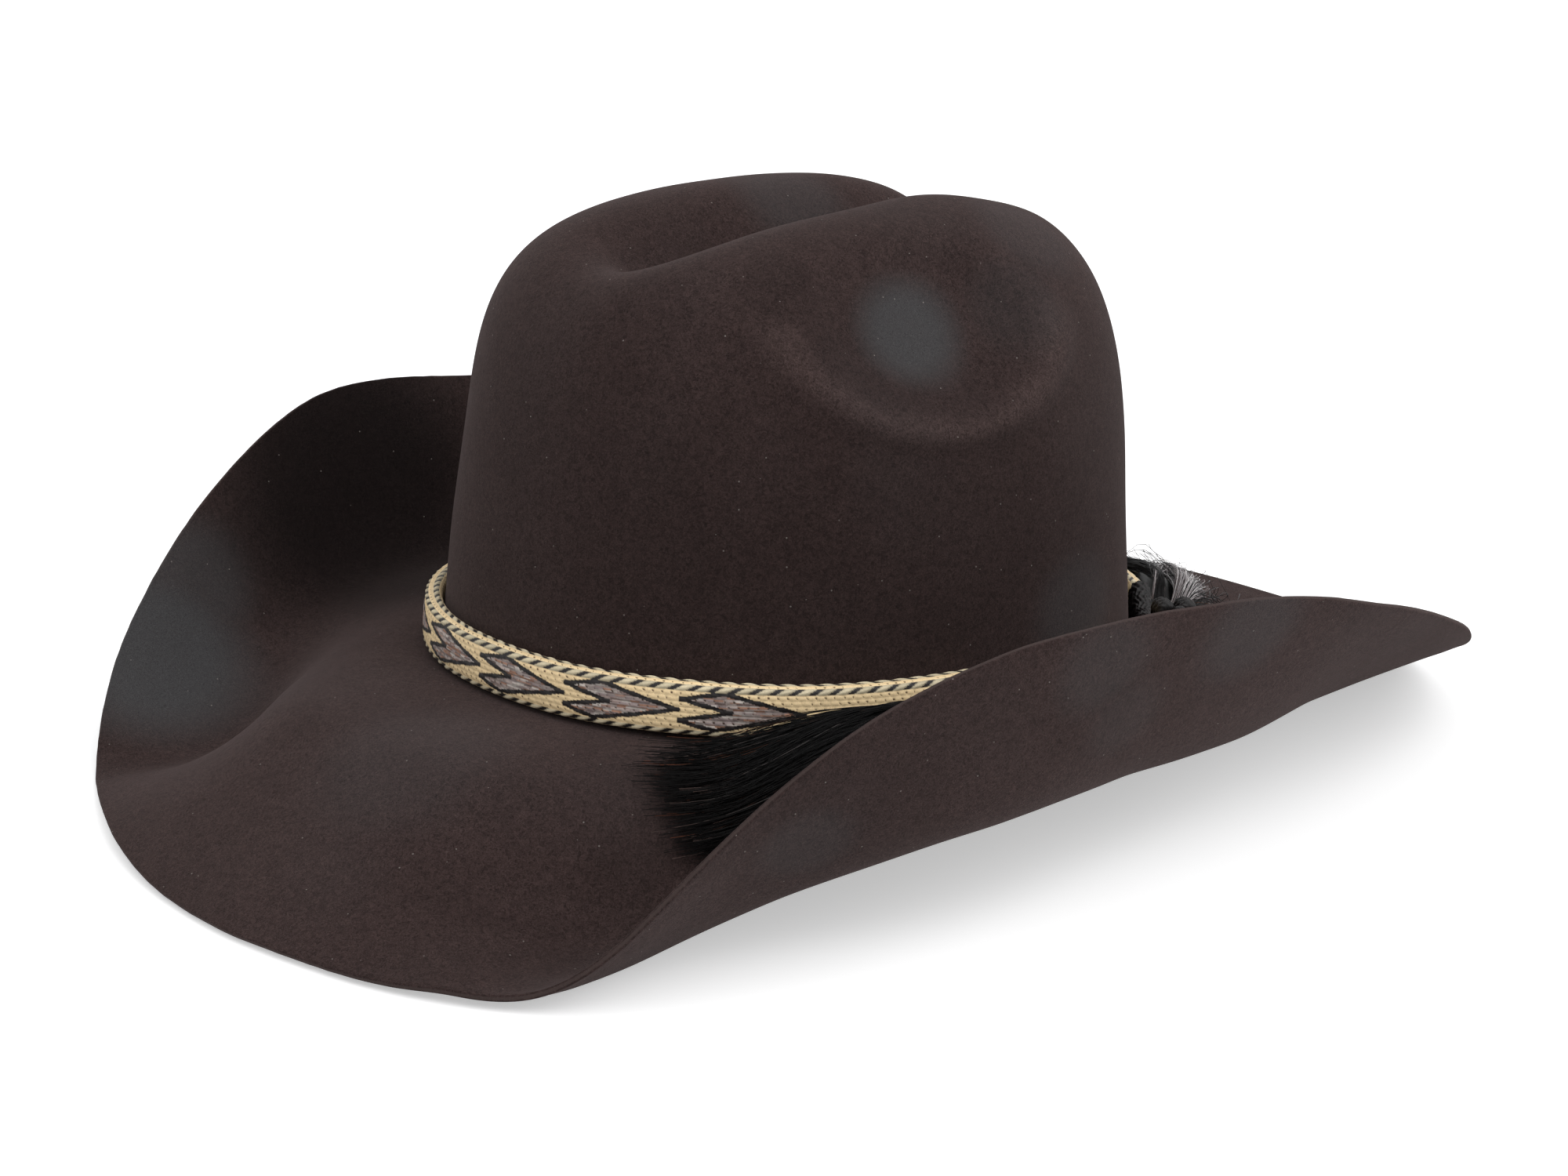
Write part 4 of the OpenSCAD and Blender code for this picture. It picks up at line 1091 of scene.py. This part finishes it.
def about_centre(p):
    return math.degrees(math.atan2(p[1] - ARC_CENTRE[1], p[0] - ARC_CENTRE[0]))


def on_arc(phi, z):
    return ARC_CENTRE + vec(ARC_R * cosd(phi), ARC_R * sind(phi), z)


def arc_angle(length, radius):
    return math.degrees(length / radius)


def beads(phase):
    """Round swellings that follow each other, one for each unit of phase."""
    return np.sqrt(np.clip(1 - (2 * (phase - np.floor(phase)) - 1) ** 2, 0, 1))


SLIDE_PHI = about_centre(ARC_POINTS[1])
SLIDE_HALF = arc_angle(SLIDE_LEN / 2, ARC_R)
SLIDE_TRAVEL = 4
WRAP_TURN = arc_angle(WRAP_LEN, (FOOT_X + FOOT_Y) / 2)
FRONT_CORD_PHI = about_centre(beside(BAND_FRONT_END + WRAP_TURN, CORD_OFF))
REAR_CORD_PHI = about_centre(beside(BAND_BACK_END - WRAP_TURN, CORD_OFF))


def pivot(where):
    flat = beside(where[0], where[1])
    lie = brim(where[0], share_at(where[0], where[1]))[2] + FELT_T / 2 + TASSEL_GAP + KNOT_D / 2
    return np.array([flat[0], flat[1], lie])


def plait(u, turn, pitch, sides):
    """Height of a plait's strands, from 0 to 1, at u along it and at an angle round it."""
    one = np.sin(np.radians(turn * sides / 2) + 2 * np.pi * u / pitch)
    two = np.sin(np.radians(turn * sides / 2) - 2 * np.pi * u / pitch)
    one, two = np.abs(one), np.abs(two)
    over = np.sin(2 * np.pi * u / pitch) > 0
    return np.where(over, np.maximum(one, 0.75 * two), np.maximum(two, 0.75 * one))


def dark_tint(points, seed):
    n = 0.5 + 0.5 * noise(points, 1.1, seed)
    return mix(np.array([0.004, 0.0035, 0.004]), np.array([0.016, 0.012, 0.012]), col(n))


def make_wrap(name, node, a0, phi, z):
    """A plaited wrap that narrows from the band's flat tube to a round cord."""
    steps, sides = 90, 56
    tube_end, end = wall(a0, BAND_MID, BAND_OFF + WRAP_PROUD), on_arc(phi, z)
    start = tube_end + WRAP_GAP * unit(end - tube_end)
    t = np.linspace(0, 1, steps)
    e = ease(t * 1.7)
    spin = -1 if np.cross(foot_out(a0), UP) @ (end - start) > 0 else 1
    out = unit(mix(foot_out(a0), vec(cosd(phi), sind(phi), 0), col(t)))
    tuck = mix(0.72, 1, ease(t * 14)) * mix(1, 0.8, ease((t - 0.95) * 20))
    wide = tuck * mix(BAND_T / 2 + WRAP_PROUD - 0.3, CORD_D / 2 + WRAP_PROUD - 0.3, e)
    high = tuck * mix(BAND_H / 2 + WRAP_PROUD - 0.3, CORD_D / 2 + WRAP_PROUD - 0.3, e)
    square = mix(3, 2, t)
    turn = (np.arange(sides) + 0.5) * 360 / sides
    run = t * np.linalg.norm(end - start)
    grain = plait(run[:, None], turn, 3.1, 12)
    rise = 0.75 * grain ** 2 - 0.4
    c = signed_pow(cosd(turn), 2 / square[:, None]) * (wide[:, None] + rise)
    s = signed_pow(sind(turn), 2 / square[:, None]) * (high[:, None] + rise)
    points, faces = capped(rings_round(mix(start, end, col(t)), out, spin * UP, c, s))
    # painted shade in the plait's grooves and painted highlight on its strands
    colours = dark_tint(points, 41) * col(np.append(0.08 + 1.9 * grain.reshape(-1) ** 5, [1, 1]))
    build(name, points, faces, BRAID, "band", node, "black_hair", colours=colours)


def cord_path(phi, z, target):
    """From a wrap along the closure's arc, and past the slide down to a tassel's ball."""
    end_phi = about_centre(target)
    way = math.copysign(1, end_phi - phi)
    leave = SLIDE_PHI + way * (SLIDE_HALF + SLIDE_TRAVEL + 2)
    stop = end_phi - way * arc_angle(BALL_R + CORD_GAP, ARC_R)
    shift = target - on_arc(end_phi, z)
    p = np.linspace(phi, stop, 220)
    return on_arc(p, z) + shift * col(ease((p - leave) / (end_phi - leave)))


def make_cord(name, node, phi, z, target):
    path = cord_path(phi, z, target)
    along = unit(np.gradient(path, axis=0))
    out = unit(np.cross(UP, along))
    up = np.cross(along, out)
    turn = np.arange(24) * 15.0
    grain = plait(length_along(path)[:, None], turn, 4.4, 4)
    radius = CORD_D / 2 - 0.25 + 0.27 * grain
    points, faces = capped(rings_round(path, out, up, radius * cosd(turn), radius * sind(turn)))
    # painted shade in the plait's grooves and painted highlight on its strands
    colours = dark_tint(points, 43) * col(np.append(0.1 + 1.6 * grain.reshape(-1) ** 4, [1, 1]))
    build(name, points, faces, BRAID, "band", node, "black_hair", colours=colours)


def slot_section(r):
    """Points of a slot-shaped section of end radius r round both cords, and how far round each one lies."""
    straight, arc = CORD_STEP, math.pi * r
    run = np.linspace(0, 1, 120)[:-1] * 2 * (straight + arc)
    first = run < straight + arc
    half, flip = np.where(first, run, run - straight - arc), np.where(first, 1, -1)
    ang = np.maximum(half - straight, 0) / r
    x = r * np.cos(ang)
    z = np.where(half < straight, half - straight / 2, straight / 2 + r * np.sin(ang))
    return flip * x, flip * z, run


def make_slide():
    """A hitched sleeve round both cords: its outer face is stitched and its ends are rolled."""
    outer_r = CORD_D / 2 + CORD_GAP + SLIDE_WALL - 0.25
    inner_r = CORD_D / 2 + CORD_GAP + 0.05
    hitch, row_w = 2.6, 1.5
    places = np.linspace(-1, 1, 64)
    rolled = np.sqrt(np.clip(1 - places ** 10, 0, 1))

    def ring(place_at, x, z):
        phi = SLIDE_PHI + place_at * SLIDE_HALF
        return on_arc(phi, BAND_MID) + vec(cosd(phi), sind(phi), 0) * col(x) + UP * col(z)
    rings, tints = [], []
    for place_at, full in zip(places, rolled):
        r = mix((outer_r + inner_r) / 2, outer_r, full)
        x, z, run = slot_section(r)
        row = np.floor(run / row_w)
        phase = (place_at + 1) / 2 * SLIDE_LEN / hitch + 0.5 * (row % 2)
        swell = beads(phase) * np.sin(np.pi * (run / row_w - row)) ** 0.6
        grow = 1 + 0.3 * swell / r
        rings.append(ring(place_at, x * grow, z * grow))
        tone = 0.85 + 0.3 * cell_noise(np.floor(phase), row, 15)
        dark = (np.floor(phase) + row) % 3 == 0
        tints.append(np.where(col(dark), BLACK * 1.5, CREAM * col(tone)))
    x, z, _ = slot_section(inner_r)
    for place_at in places[::-1]:
        rings.append(ring(place_at, x, z))
        # the inner face round the cords is the cream painted darker, as shade
        tints.append(np.broadcast_to(CREAM * 0.6, (len(x), 3)))
    rings, tints = np.stack(rings), np.stack(tints)
    build("hitched_slide", rings, closed_faces(rings), HITCHED, "slide", "slide_knot", "hitched_hair",
          colours=tints)


FRONT_PIVOT, REAR_PIVOT = pivot(PIVOT_FRONT), pivot(PIVOT_REAR)
make_wrap("wrap_front", "band_wrap_front", BAND_FRONT_END, FRONT_CORD_PHI, BAND_MID + CORD_STEP / 2)
make_wrap("wrap_rear", "band_wrap_rear", BAND_BACK_END, REAR_CORD_PHI, BAND_MID - CORD_STEP / 2)
make_cord("plaited_cord_front", "closure_cord_front", FRONT_CORD_PHI, BAND_MID + CORD_STEP / 2, REAR_PIVOT)
make_cord("plaited_cord_rear", "closure_cord_rear", REAR_CORD_PHI, BAND_MID - CORD_STEP / 2, FRONT_PIVOT)
make_slide()


# ---- tassels ----

KNOT_SIDE = KNOT_D / 2 + CORD_GAP / 2
KNOT_START = BALL_R * 0.7
KNOT_REACH = KNOT_START + KNOT_LEN
TASSEL_SWING = 60
HAIR_LOW = FELT_T / 2 + TASSEL_GAP + 0.15
HAIR_STEPS = 18
FRONT_HAIRS, REAR_HAIRS, WIRY_HAIRS = 4000, 2200, 60
FRONT_HAIR_D, REAR_HAIR_D, WIRY_HAIR_D = 0.14, 0.11, 0.13
# Where each fan of hair ends on the brim: angle and share of its corner at the crown and of its other corner
FRONT_FAN = (36, 0.135), (44.5, 0.38)
REAR_FAN = (185.5, 0.17), (175.5, 0.405)
# How high each bunch lies, in shares of HAIR_H, and how much of that it has at its root
FRONT_LIFT, FRONT_ROOT, REAR_LIFT, REAR_ROOT = 1.8, 0.6, 0.95, 0.2
BLACK_HAIR, BROWN_HAIR, PAINTED_HIGHLIGHT_HAIR = (0.0014, 0.0012, 0.0013), (0.055, 0.024, 0.014), (0.05, 0.044, 0.042)
SMOKE_HAIR, CORE_HAIR = (0.0075, 0.0065, 0.007), 0.0015
GREY_HAIRS = np.array([[0.46, 0.42, 0.43], [0.80, 0.77, 0.77], [0.25, 0.21, 0.21]])


def root_angle(where, tip):
    turn = arc_angle(KNOT_REACH + TASSEL_GAP, np.linalg.norm(beside(where[0], where[1])))
    return where[0] + math.copysign(turn, tip[0] - where[0])


def hair_way(where, tip):
    return unit(beside(root_angle(where, tip), where[1]) - beside(where[0], where[1]))


def lathe(base, along, lengths, radii, pitch):
    """A plaited round form along a line, and the tint of its points, with painted shade in the plait's
    grooves and painted highlight on its strands.
    """
    turn = np.arange(40) * 9.0
    other = unit(np.cross(along, np.cross(UP, along)))
    grain = plait(lengths[:, None], turn, pitch, 8)
    r = radii[:, None] * (0.84 + 0.16 * grain ** 2)
    third = np.cross(along, other)
    rings = rings_round(base + along * col(lengths), other, third, r * cosd(turn), r * sind(turn))
    return capped(rings), np.append(0.04 + 1.3 * grain.reshape(-1) ** 4, [1, 1])


def make_knots(name, node, where, tip, body):
    """A ball at the cord's end, two knot caps beside each other and a wrap that ties them."""
    way = hair_way(where, tip)
    side_way = np.cross(UP, way)
    centre = pivot(where)
    t = np.linspace(-1, 1, 30)
    forms = [lathe(centre, way, t * BALL_R, BALL_R * np.sqrt(np.clip(1 - t ** 2, 0.01, 1)), 1.9)]
    lengths = np.linspace(0, KNOT_LEN, 60)
    coils = 3
    bulge = np.abs(np.sin(np.pi * lengths / KNOT_LEN * coils)) ** 0.5
    ends = np.sqrt(np.clip(1 - ((lengths / KNOT_LEN - 0.5) * 1.9) ** 8, 0.15, 1))
    for k in (-1, 1):
        base = centre + way * KNOT_START + side_way * k * KNOT_SIDE
        forms.append(lathe(base, way, lengths, (KNOT_D / 2 - 0.75 + 0.75 * bulge) * ends, 2.2))
    tie = centre + way * (KNOT_START + 1.9)
    forms.append(lathe(tie, side_way, t * KNOT_SIDE, np.ones(len(t)), 1.8))
    points, faces = join([form for form, _ in forms])
    colours = dark_tint(points, 47) * col(np.concatenate([tint for _, tint in forms]))
    build(name, points, faces, BRAID, body, node, "black_hair", colours=colours)


def lifted(angle, share, high):
    return brim(angle, share) + brim_normal(angle, share) * col(high)


def hair_spots(where, fan, i, j):
    """Angle and share on the brim at i along a fan of hair and j across it, from the crown's side."""
    root = root_angle(where, fan[0])
    half = KNOT_SIDE + KNOT_D * 0.45
    near, far = (np.array([root, share_at(root, where[1] + off)]) for off in (-half, half))
    return mix(mix(near, np.array(fan[0]), col(i)), mix(far, np.array(fan[1]), col(i)), col(j))


def hair_height(i, j, lift, start):
    """How high a bunch lies over the brim: highest on its crown side and past its root."""
    side = mix(1.0, 0.36, ease(j))
    arch = side + (1 - side) * np.sin(np.pi * np.clip(j, 0, 1))
    return HAIR_H * lift * arch * mix(start + (1 - start) * ease(i * 3), 0.3, ease((i - 0.35) / 0.65))


def hair_paths(where, fan, across, reach, lift, curl, waves, start):
    """Hairs from the two knot caps that fan out over the brim, never nearer to it than 0.4."""
    count = len(across)
    depth = rng.uniform(0, 1, count) ** 0.6
    knot = np.where(across < 0.5, -1, 1)
    root_across = 0.5 + knot * (0.25 + 0.35 * ((across * 2) % 1 - 0.5))
    tip_across = np.clip(across + rng.normal(0, 0.06, count), -0.12, 1.7)
    i = reach[:, None] * np.linspace(0, 1, HAIR_STEPS)
    j = mix(root_across[:, None], tip_across[:, None], ease(i * 1.2))
    spot = hair_spots(where, fan, i, j)
    layer = mix(0.5, depth[:, None], ease(i * 4))
    high = HAIR_LOW + hair_height(i, j, lift, start) * layer
    up = brim_normal(spot[..., 0], spot[..., 1])
    seeds = rng.uniform(0, 30, count)[:, None] + 0 * i
    wander = [noise(vec(i * waves + 31 * k, seeds, 0), 1.0, 50 + k) for k in range(3)]
    wander = np.stack(wander, -1) * col(curl * ease(i * 1.5) * i)
    room = high + (wander * up).sum(-1) - (FELT_T / 2 + 0.4)
    return lifted(spot[..., 0], spot[..., 1], high) + wander + up * col(np.maximum(0, -room))


def hair_core(where, fan, lift, length, start):
    """The dense inside of a bunch, below its loose hairs."""
    i = np.linspace(0, length, 30)[:, None]
    j = np.linspace(0.12, 0.88, 12)[None, :]
    spot = hair_spots(where, fan, i + 0 * j, j + 0 * i)
    thin = 0.72 * (1 - 0.85 * ease((i / length - 0.6) / 0.4))
    low = lifted(spot[..., 0], spot[..., 1], HAIR_LOW + 0 * j * i)
    high = lifted(spot[..., 0], spot[..., 1], HAIR_LOW + 0.3 + hair_height(i, j, lift, start) * thin)
    rings = np.concatenate([low, high[:, ::-1]], 1)
    return capped(rings[:, ::-1] if fan[0][0] > where[0] else rings)


def in_crown(points, room):
    """Whether points lie inside the crown or nearer than room to its middle surface."""
    rise = np.clip(points[..., 2] / CROWN_H, 0, 0.98)
    share = (1 - rise ** CROWN_SQUARE) ** (1 / CROWN_SQUARE)
    end_taper = mix(BACK_TAPER, FRONT_TAPER, np.clip(0.5 - points[..., 1] / FOOT_Y / 2, 0, 1))
    x = np.abs(points[..., 0]) / (FOOT_X * share * (1 - SIDE_TAPER * rise) + room)
    y = np.abs(points[..., 1]) / (FOOT_Y * share * (1 - end_taper * rise) + room)
    return x ** FOOT_SQUARE + y ** FOOT_SQUARE < 1


def swing_clear(paths, where, tip):
    """Which hairs stay outside the crown when their tassel swings all the way up."""
    way = hair_way(where, tip)
    axis = np.cross(way, UP)
    arm = paths - pivot(where)
    along = cosd(TASSEL_SWING) * (arm @ way) - sind(TASSEL_SWING) * (arm @ UP)
    high = sind(TASSEL_SWING) * (arm @ way) + cosd(TASSEL_SWING) * (arm @ UP)
    swung = pivot(where) + col(along) * way + col(high) * UP + col(arm @ axis) * axis
    return ~in_crown(swung, FELT_T / 2 + 0.6).any(axis=1)


def make_hair(name, node, body, slot, core, paths, tints, thick):
    points, faces = join([strands(paths, thick), core])
    colours = np.concatenate([np.repeat(tints.reshape(-1, 3), 4, 0), np.full((len(core[0]), 3), CORE_HAIR)])
    build(name, points, faces, HAIR, body, node, slot, colours=colours)


def black_hair(across, t):
    """Tints along black hairs: a few are brown, a few are grey as painted highlights, and all are browner at
    their tips.
    """
    count = len(across)
    brown = rng.uniform(0, 1, count) < np.where(across < 0.1, 0.12, 0.012)
    base = np.where(col(brown), BROWN_HAIR, BLACK_HAIR)
    # a few strands are painted grey as highlights
    base = np.where(col(rng.uniform(0, 1, count) < 0.03), PAINTED_HIGHLIGHT_HAIR, base)
    base = base * col(rng.uniform(0.6, 1.8, count))
    return base[:, None] * mix(np.ones(3), np.array([1.6, 1.2, 1.1]), col(ease((t - 0.8) / 0.2)))


def grey_hair(across, t):
    """Tints along the rear tassel's hairs: smoky on its crown side, pale on the other, dark at the root."""
    count = len(across)
    light = rng.uniform(0, 1, count) < np.where(across < 0.42, 0.015, 0.62)
    base = np.where(col(light), GREY_HAIRS[rng.integers(0, 3, count)], SMOKE_HAIR)
    return base[:, None] * mix(np.array([0.2, 0.18, 0.18]), np.ones(3), col(ease((t - 0.1) / 0.35)))


def make_front_hair():
    t = np.linspace(0, 1, HAIR_STEPS)
    across = rng.uniform(0, 1, FRONT_HAIRS)
    reach = rng.normal(0.93, 0.07, FRONT_HAIRS).clip(0.4, 1.06)
    paths = hair_paths(PIVOT_FRONT, FRONT_FAN, across, reach, FRONT_LIFT, 5.0, 2.0, FRONT_ROOT)
    tints = black_hair(across, t)
    thick = FRONT_HAIR_D * rng.uniform(0.75, 1.2, FRONT_HAIRS)
    core = hair_core(PIVOT_FRONT, FRONT_FAN, FRONT_LIFT, 0.8, FRONT_ROOT)
    keep = swing_clear(paths, PIVOT_FRONT, FRONT_FAN[0])
    make_hair("front_tassel_hair", "tassel_hair_front", "tassel_front", "loose_black_hair", core, paths[keep],
              tints[keep], thick[keep])


def make_rear_hair():
    t = np.linspace(0, 1, HAIR_STEPS)
    counts = (REAR_HAIRS // 2, REAR_HAIRS - REAR_HAIRS // 2, WIRY_HAIRS)
    dark, pale, wiry = (rng.uniform(*ends, n) for ends, n in zip(((0, 0.5), (0.5, 1), (0.4, 1.7)), counts))
    across = np.concatenate([dark, pale, wiry])
    reach = np.concatenate([rng.normal(0.86, 0.1, len(dark)), rng.normal(0.72, 0.2, len(pale)),
                            rng.uniform(0.7, 1.25, len(wiry))]).clip(0.3, 1.25)
    lifts = np.concatenate([np.full(len(dark), REAR_LIFT), rng.uniform(0.5, 1.15, len(pale)),
                            rng.uniform(0.4, 1.0, len(wiry))])
    curl = np.repeat((3.0, 6.0, 11.0), counts)
    paths = hair_paths(PIVOT_REAR, REAR_FAN, across, reach, lifts[:, None], curl[:, None], 3.0, REAR_ROOT)
    dense = REAR_FAN[0], mix(*np.array(REAR_FAN), 0.45)
    core = hair_core(PIVOT_REAR, dense, REAR_LIFT, 0.7, REAR_ROOT)
    tints = np.concatenate([grey_hair(across[:REAR_HAIRS], t), 2 * black_hair(wiry, t)])
    thick = REAR_HAIR_D * rng.uniform(0.7, 1.25, REAR_HAIRS)
    make_hair("rear_tassel_hair", "tassel_hair_rear", "tassel_rear", "loose_grey_hair", core, paths, tints,
              np.append(thick, np.full(WIRY_HAIRS, WIRY_HAIR_D)))


make_knots("knot_caps_front", "tassel_knots_front", PIVOT_FRONT, FRONT_FAN[0], "tassel_front")
make_knots("knot_caps_rear", "tassel_knots_rear", PIVOT_REAR, REAR_FAN[0], "tassel_rear")
make_front_hair()
make_rear_hair()


# ---- floor, light and camera ----

FLOOR_HALF, FLOOR_DROP = 12.0, 0.0005


def seen_directly(tree):
    """1 for the rays that show a surface itself, and 0 for those that only gather its light."""
    rays = add(tree, "LightPath")
    seen = math_node(tree, "MAXIMUM", rays.outputs["Is Camera Ray"], rays.outputs["Is Glossy Ray"])
    return math_node(tree, "MAXIMUM", seen, rays.outputs["Is Transmission Ray"])


def make_floor():
    """A pale floor that glows a little where it is seen, so that it comes out nearly white."""
    mat = bpy.data.materials.new("pale_floor")
    mat.use_nodes = True
    tree = mat.node_tree
    tree.nodes.clear()
    diffuse = add(tree, "BsdfDiffuse", Color=(0.86, 0.86, 0.865, 1))
    glow = add(tree, "Emission", Color=(1, 1, 1, 1))
    tree.links.new(math_node(tree, "MULTIPLY", seen_directly(tree), 0.45), glow.inputs["Strength"])
    both = add(tree, "AddShader")
    tree.links.new(diffuse.outputs[0], both.inputs[0])
    tree.links.new(glow.outputs[0], both.inputs[1])
    tree.links.new(both.outputs[0], add(tree, "OutputMaterial").inputs["Surface"])
    mesh = bpy.data.meshes.new("floor")
    corners = [(FLOOR_HALF * x, FLOOR_HALF * y, 0) for x, y in ((-1, -1), (1, -1), (1, 1), (-1, 1))]
    mesh.from_pydata(corners, [], [(0, 1, 2, 3)])
    mesh.materials.append(mat)
    floor = bpy.data.objects.new("floor", mesh)
    floor.location.z = -FLOOR_DROP
    bpy.context.scene.collection.objects.link(floor)


def make_world(level):
    """An even white surrounding that lights at a lower level than it is seen."""
    world = bpy.data.worlds.new("studio")
    bpy.context.scene.world = world
    world.use_nodes = True
    tree = world.node_tree
    background = tree.nodes["Background"]
    background.inputs["Color"].default_value = (1, 1, 1, 1)
    strength = add(tree, "Mix", data_type="FLOAT")
    sockets = {s.identifier: s for s in (*strength.inputs, *strength.outputs)}
    sockets["A_Float"].default_value = level
    sockets["B_Float"].default_value = 1.0
    tree.links.new(seen_directly(tree), sockets["Factor_Float"])
    tree.links.new(sockets["Result_Float"], background.inputs["Strength"])


def way_back(azimuth, elevation):
    return Vector((sind(azimuth) * cosd(elevation), -cosd(azimuth) * cosd(elevation), sind(elevation)))


def make_sun(name, azimuth, elevation, strength, spread):
    """A soft studio light from a direction, with its spread in degrees."""
    light = bpy.data.lights.new(name, "SUN")
    light.energy = strength
    light.angle = math.radians(spread)
    obj = bpy.data.objects.new(name, light)
    obj.rotation_euler = way_back(azimuth, elevation).to_track_quat("Z", "Y").to_euler()
    bpy.context.scene.collection.objects.link(obj)


def make_camera():
    """The camera stands to the wearer's left of the front, a little above the brim."""
    azimuth, elevation, roll, distance = 49.86, 17.14, 0.11, 858
    focus = Vector((-0.35, -7.6, 44.94)) * MM
    back = way_back(azimuth, elevation)
    flat_right = Vector((cosd(azimuth), sind(azimuth), 0))
    flat_up = back.cross(flat_right)
    right = flat_right * cosd(roll) + flat_up * sind(roll)
    up = flat_up * cosd(roll) - flat_right * sind(roll)
    camera = bpy.data.cameras.new("camera")
    camera.sensor_width = 36
    camera.lens = 69.5
    camera.clip_end = 50
    obj = bpy.data.objects.new("camera", camera)
    turned = Matrix((right, up, back)).transposed().to_4x4()
    obj.matrix_world = Matrix.Translation(focus + back * distance * MM) @ turned
    bpy.context.scene.collection.objects.link(obj)
    bpy.context.scene.camera = obj


make_floor()
make_world(0.38)
make_sun("overhead", 20, 72, 0.95, 70)
make_sun("right", 115, 45, 1.3, 60)
make_sun("front", 62, 35, 0.2, 60)
make_camera()
bpy.context.scene.view_settings.view_transform = "Standard"
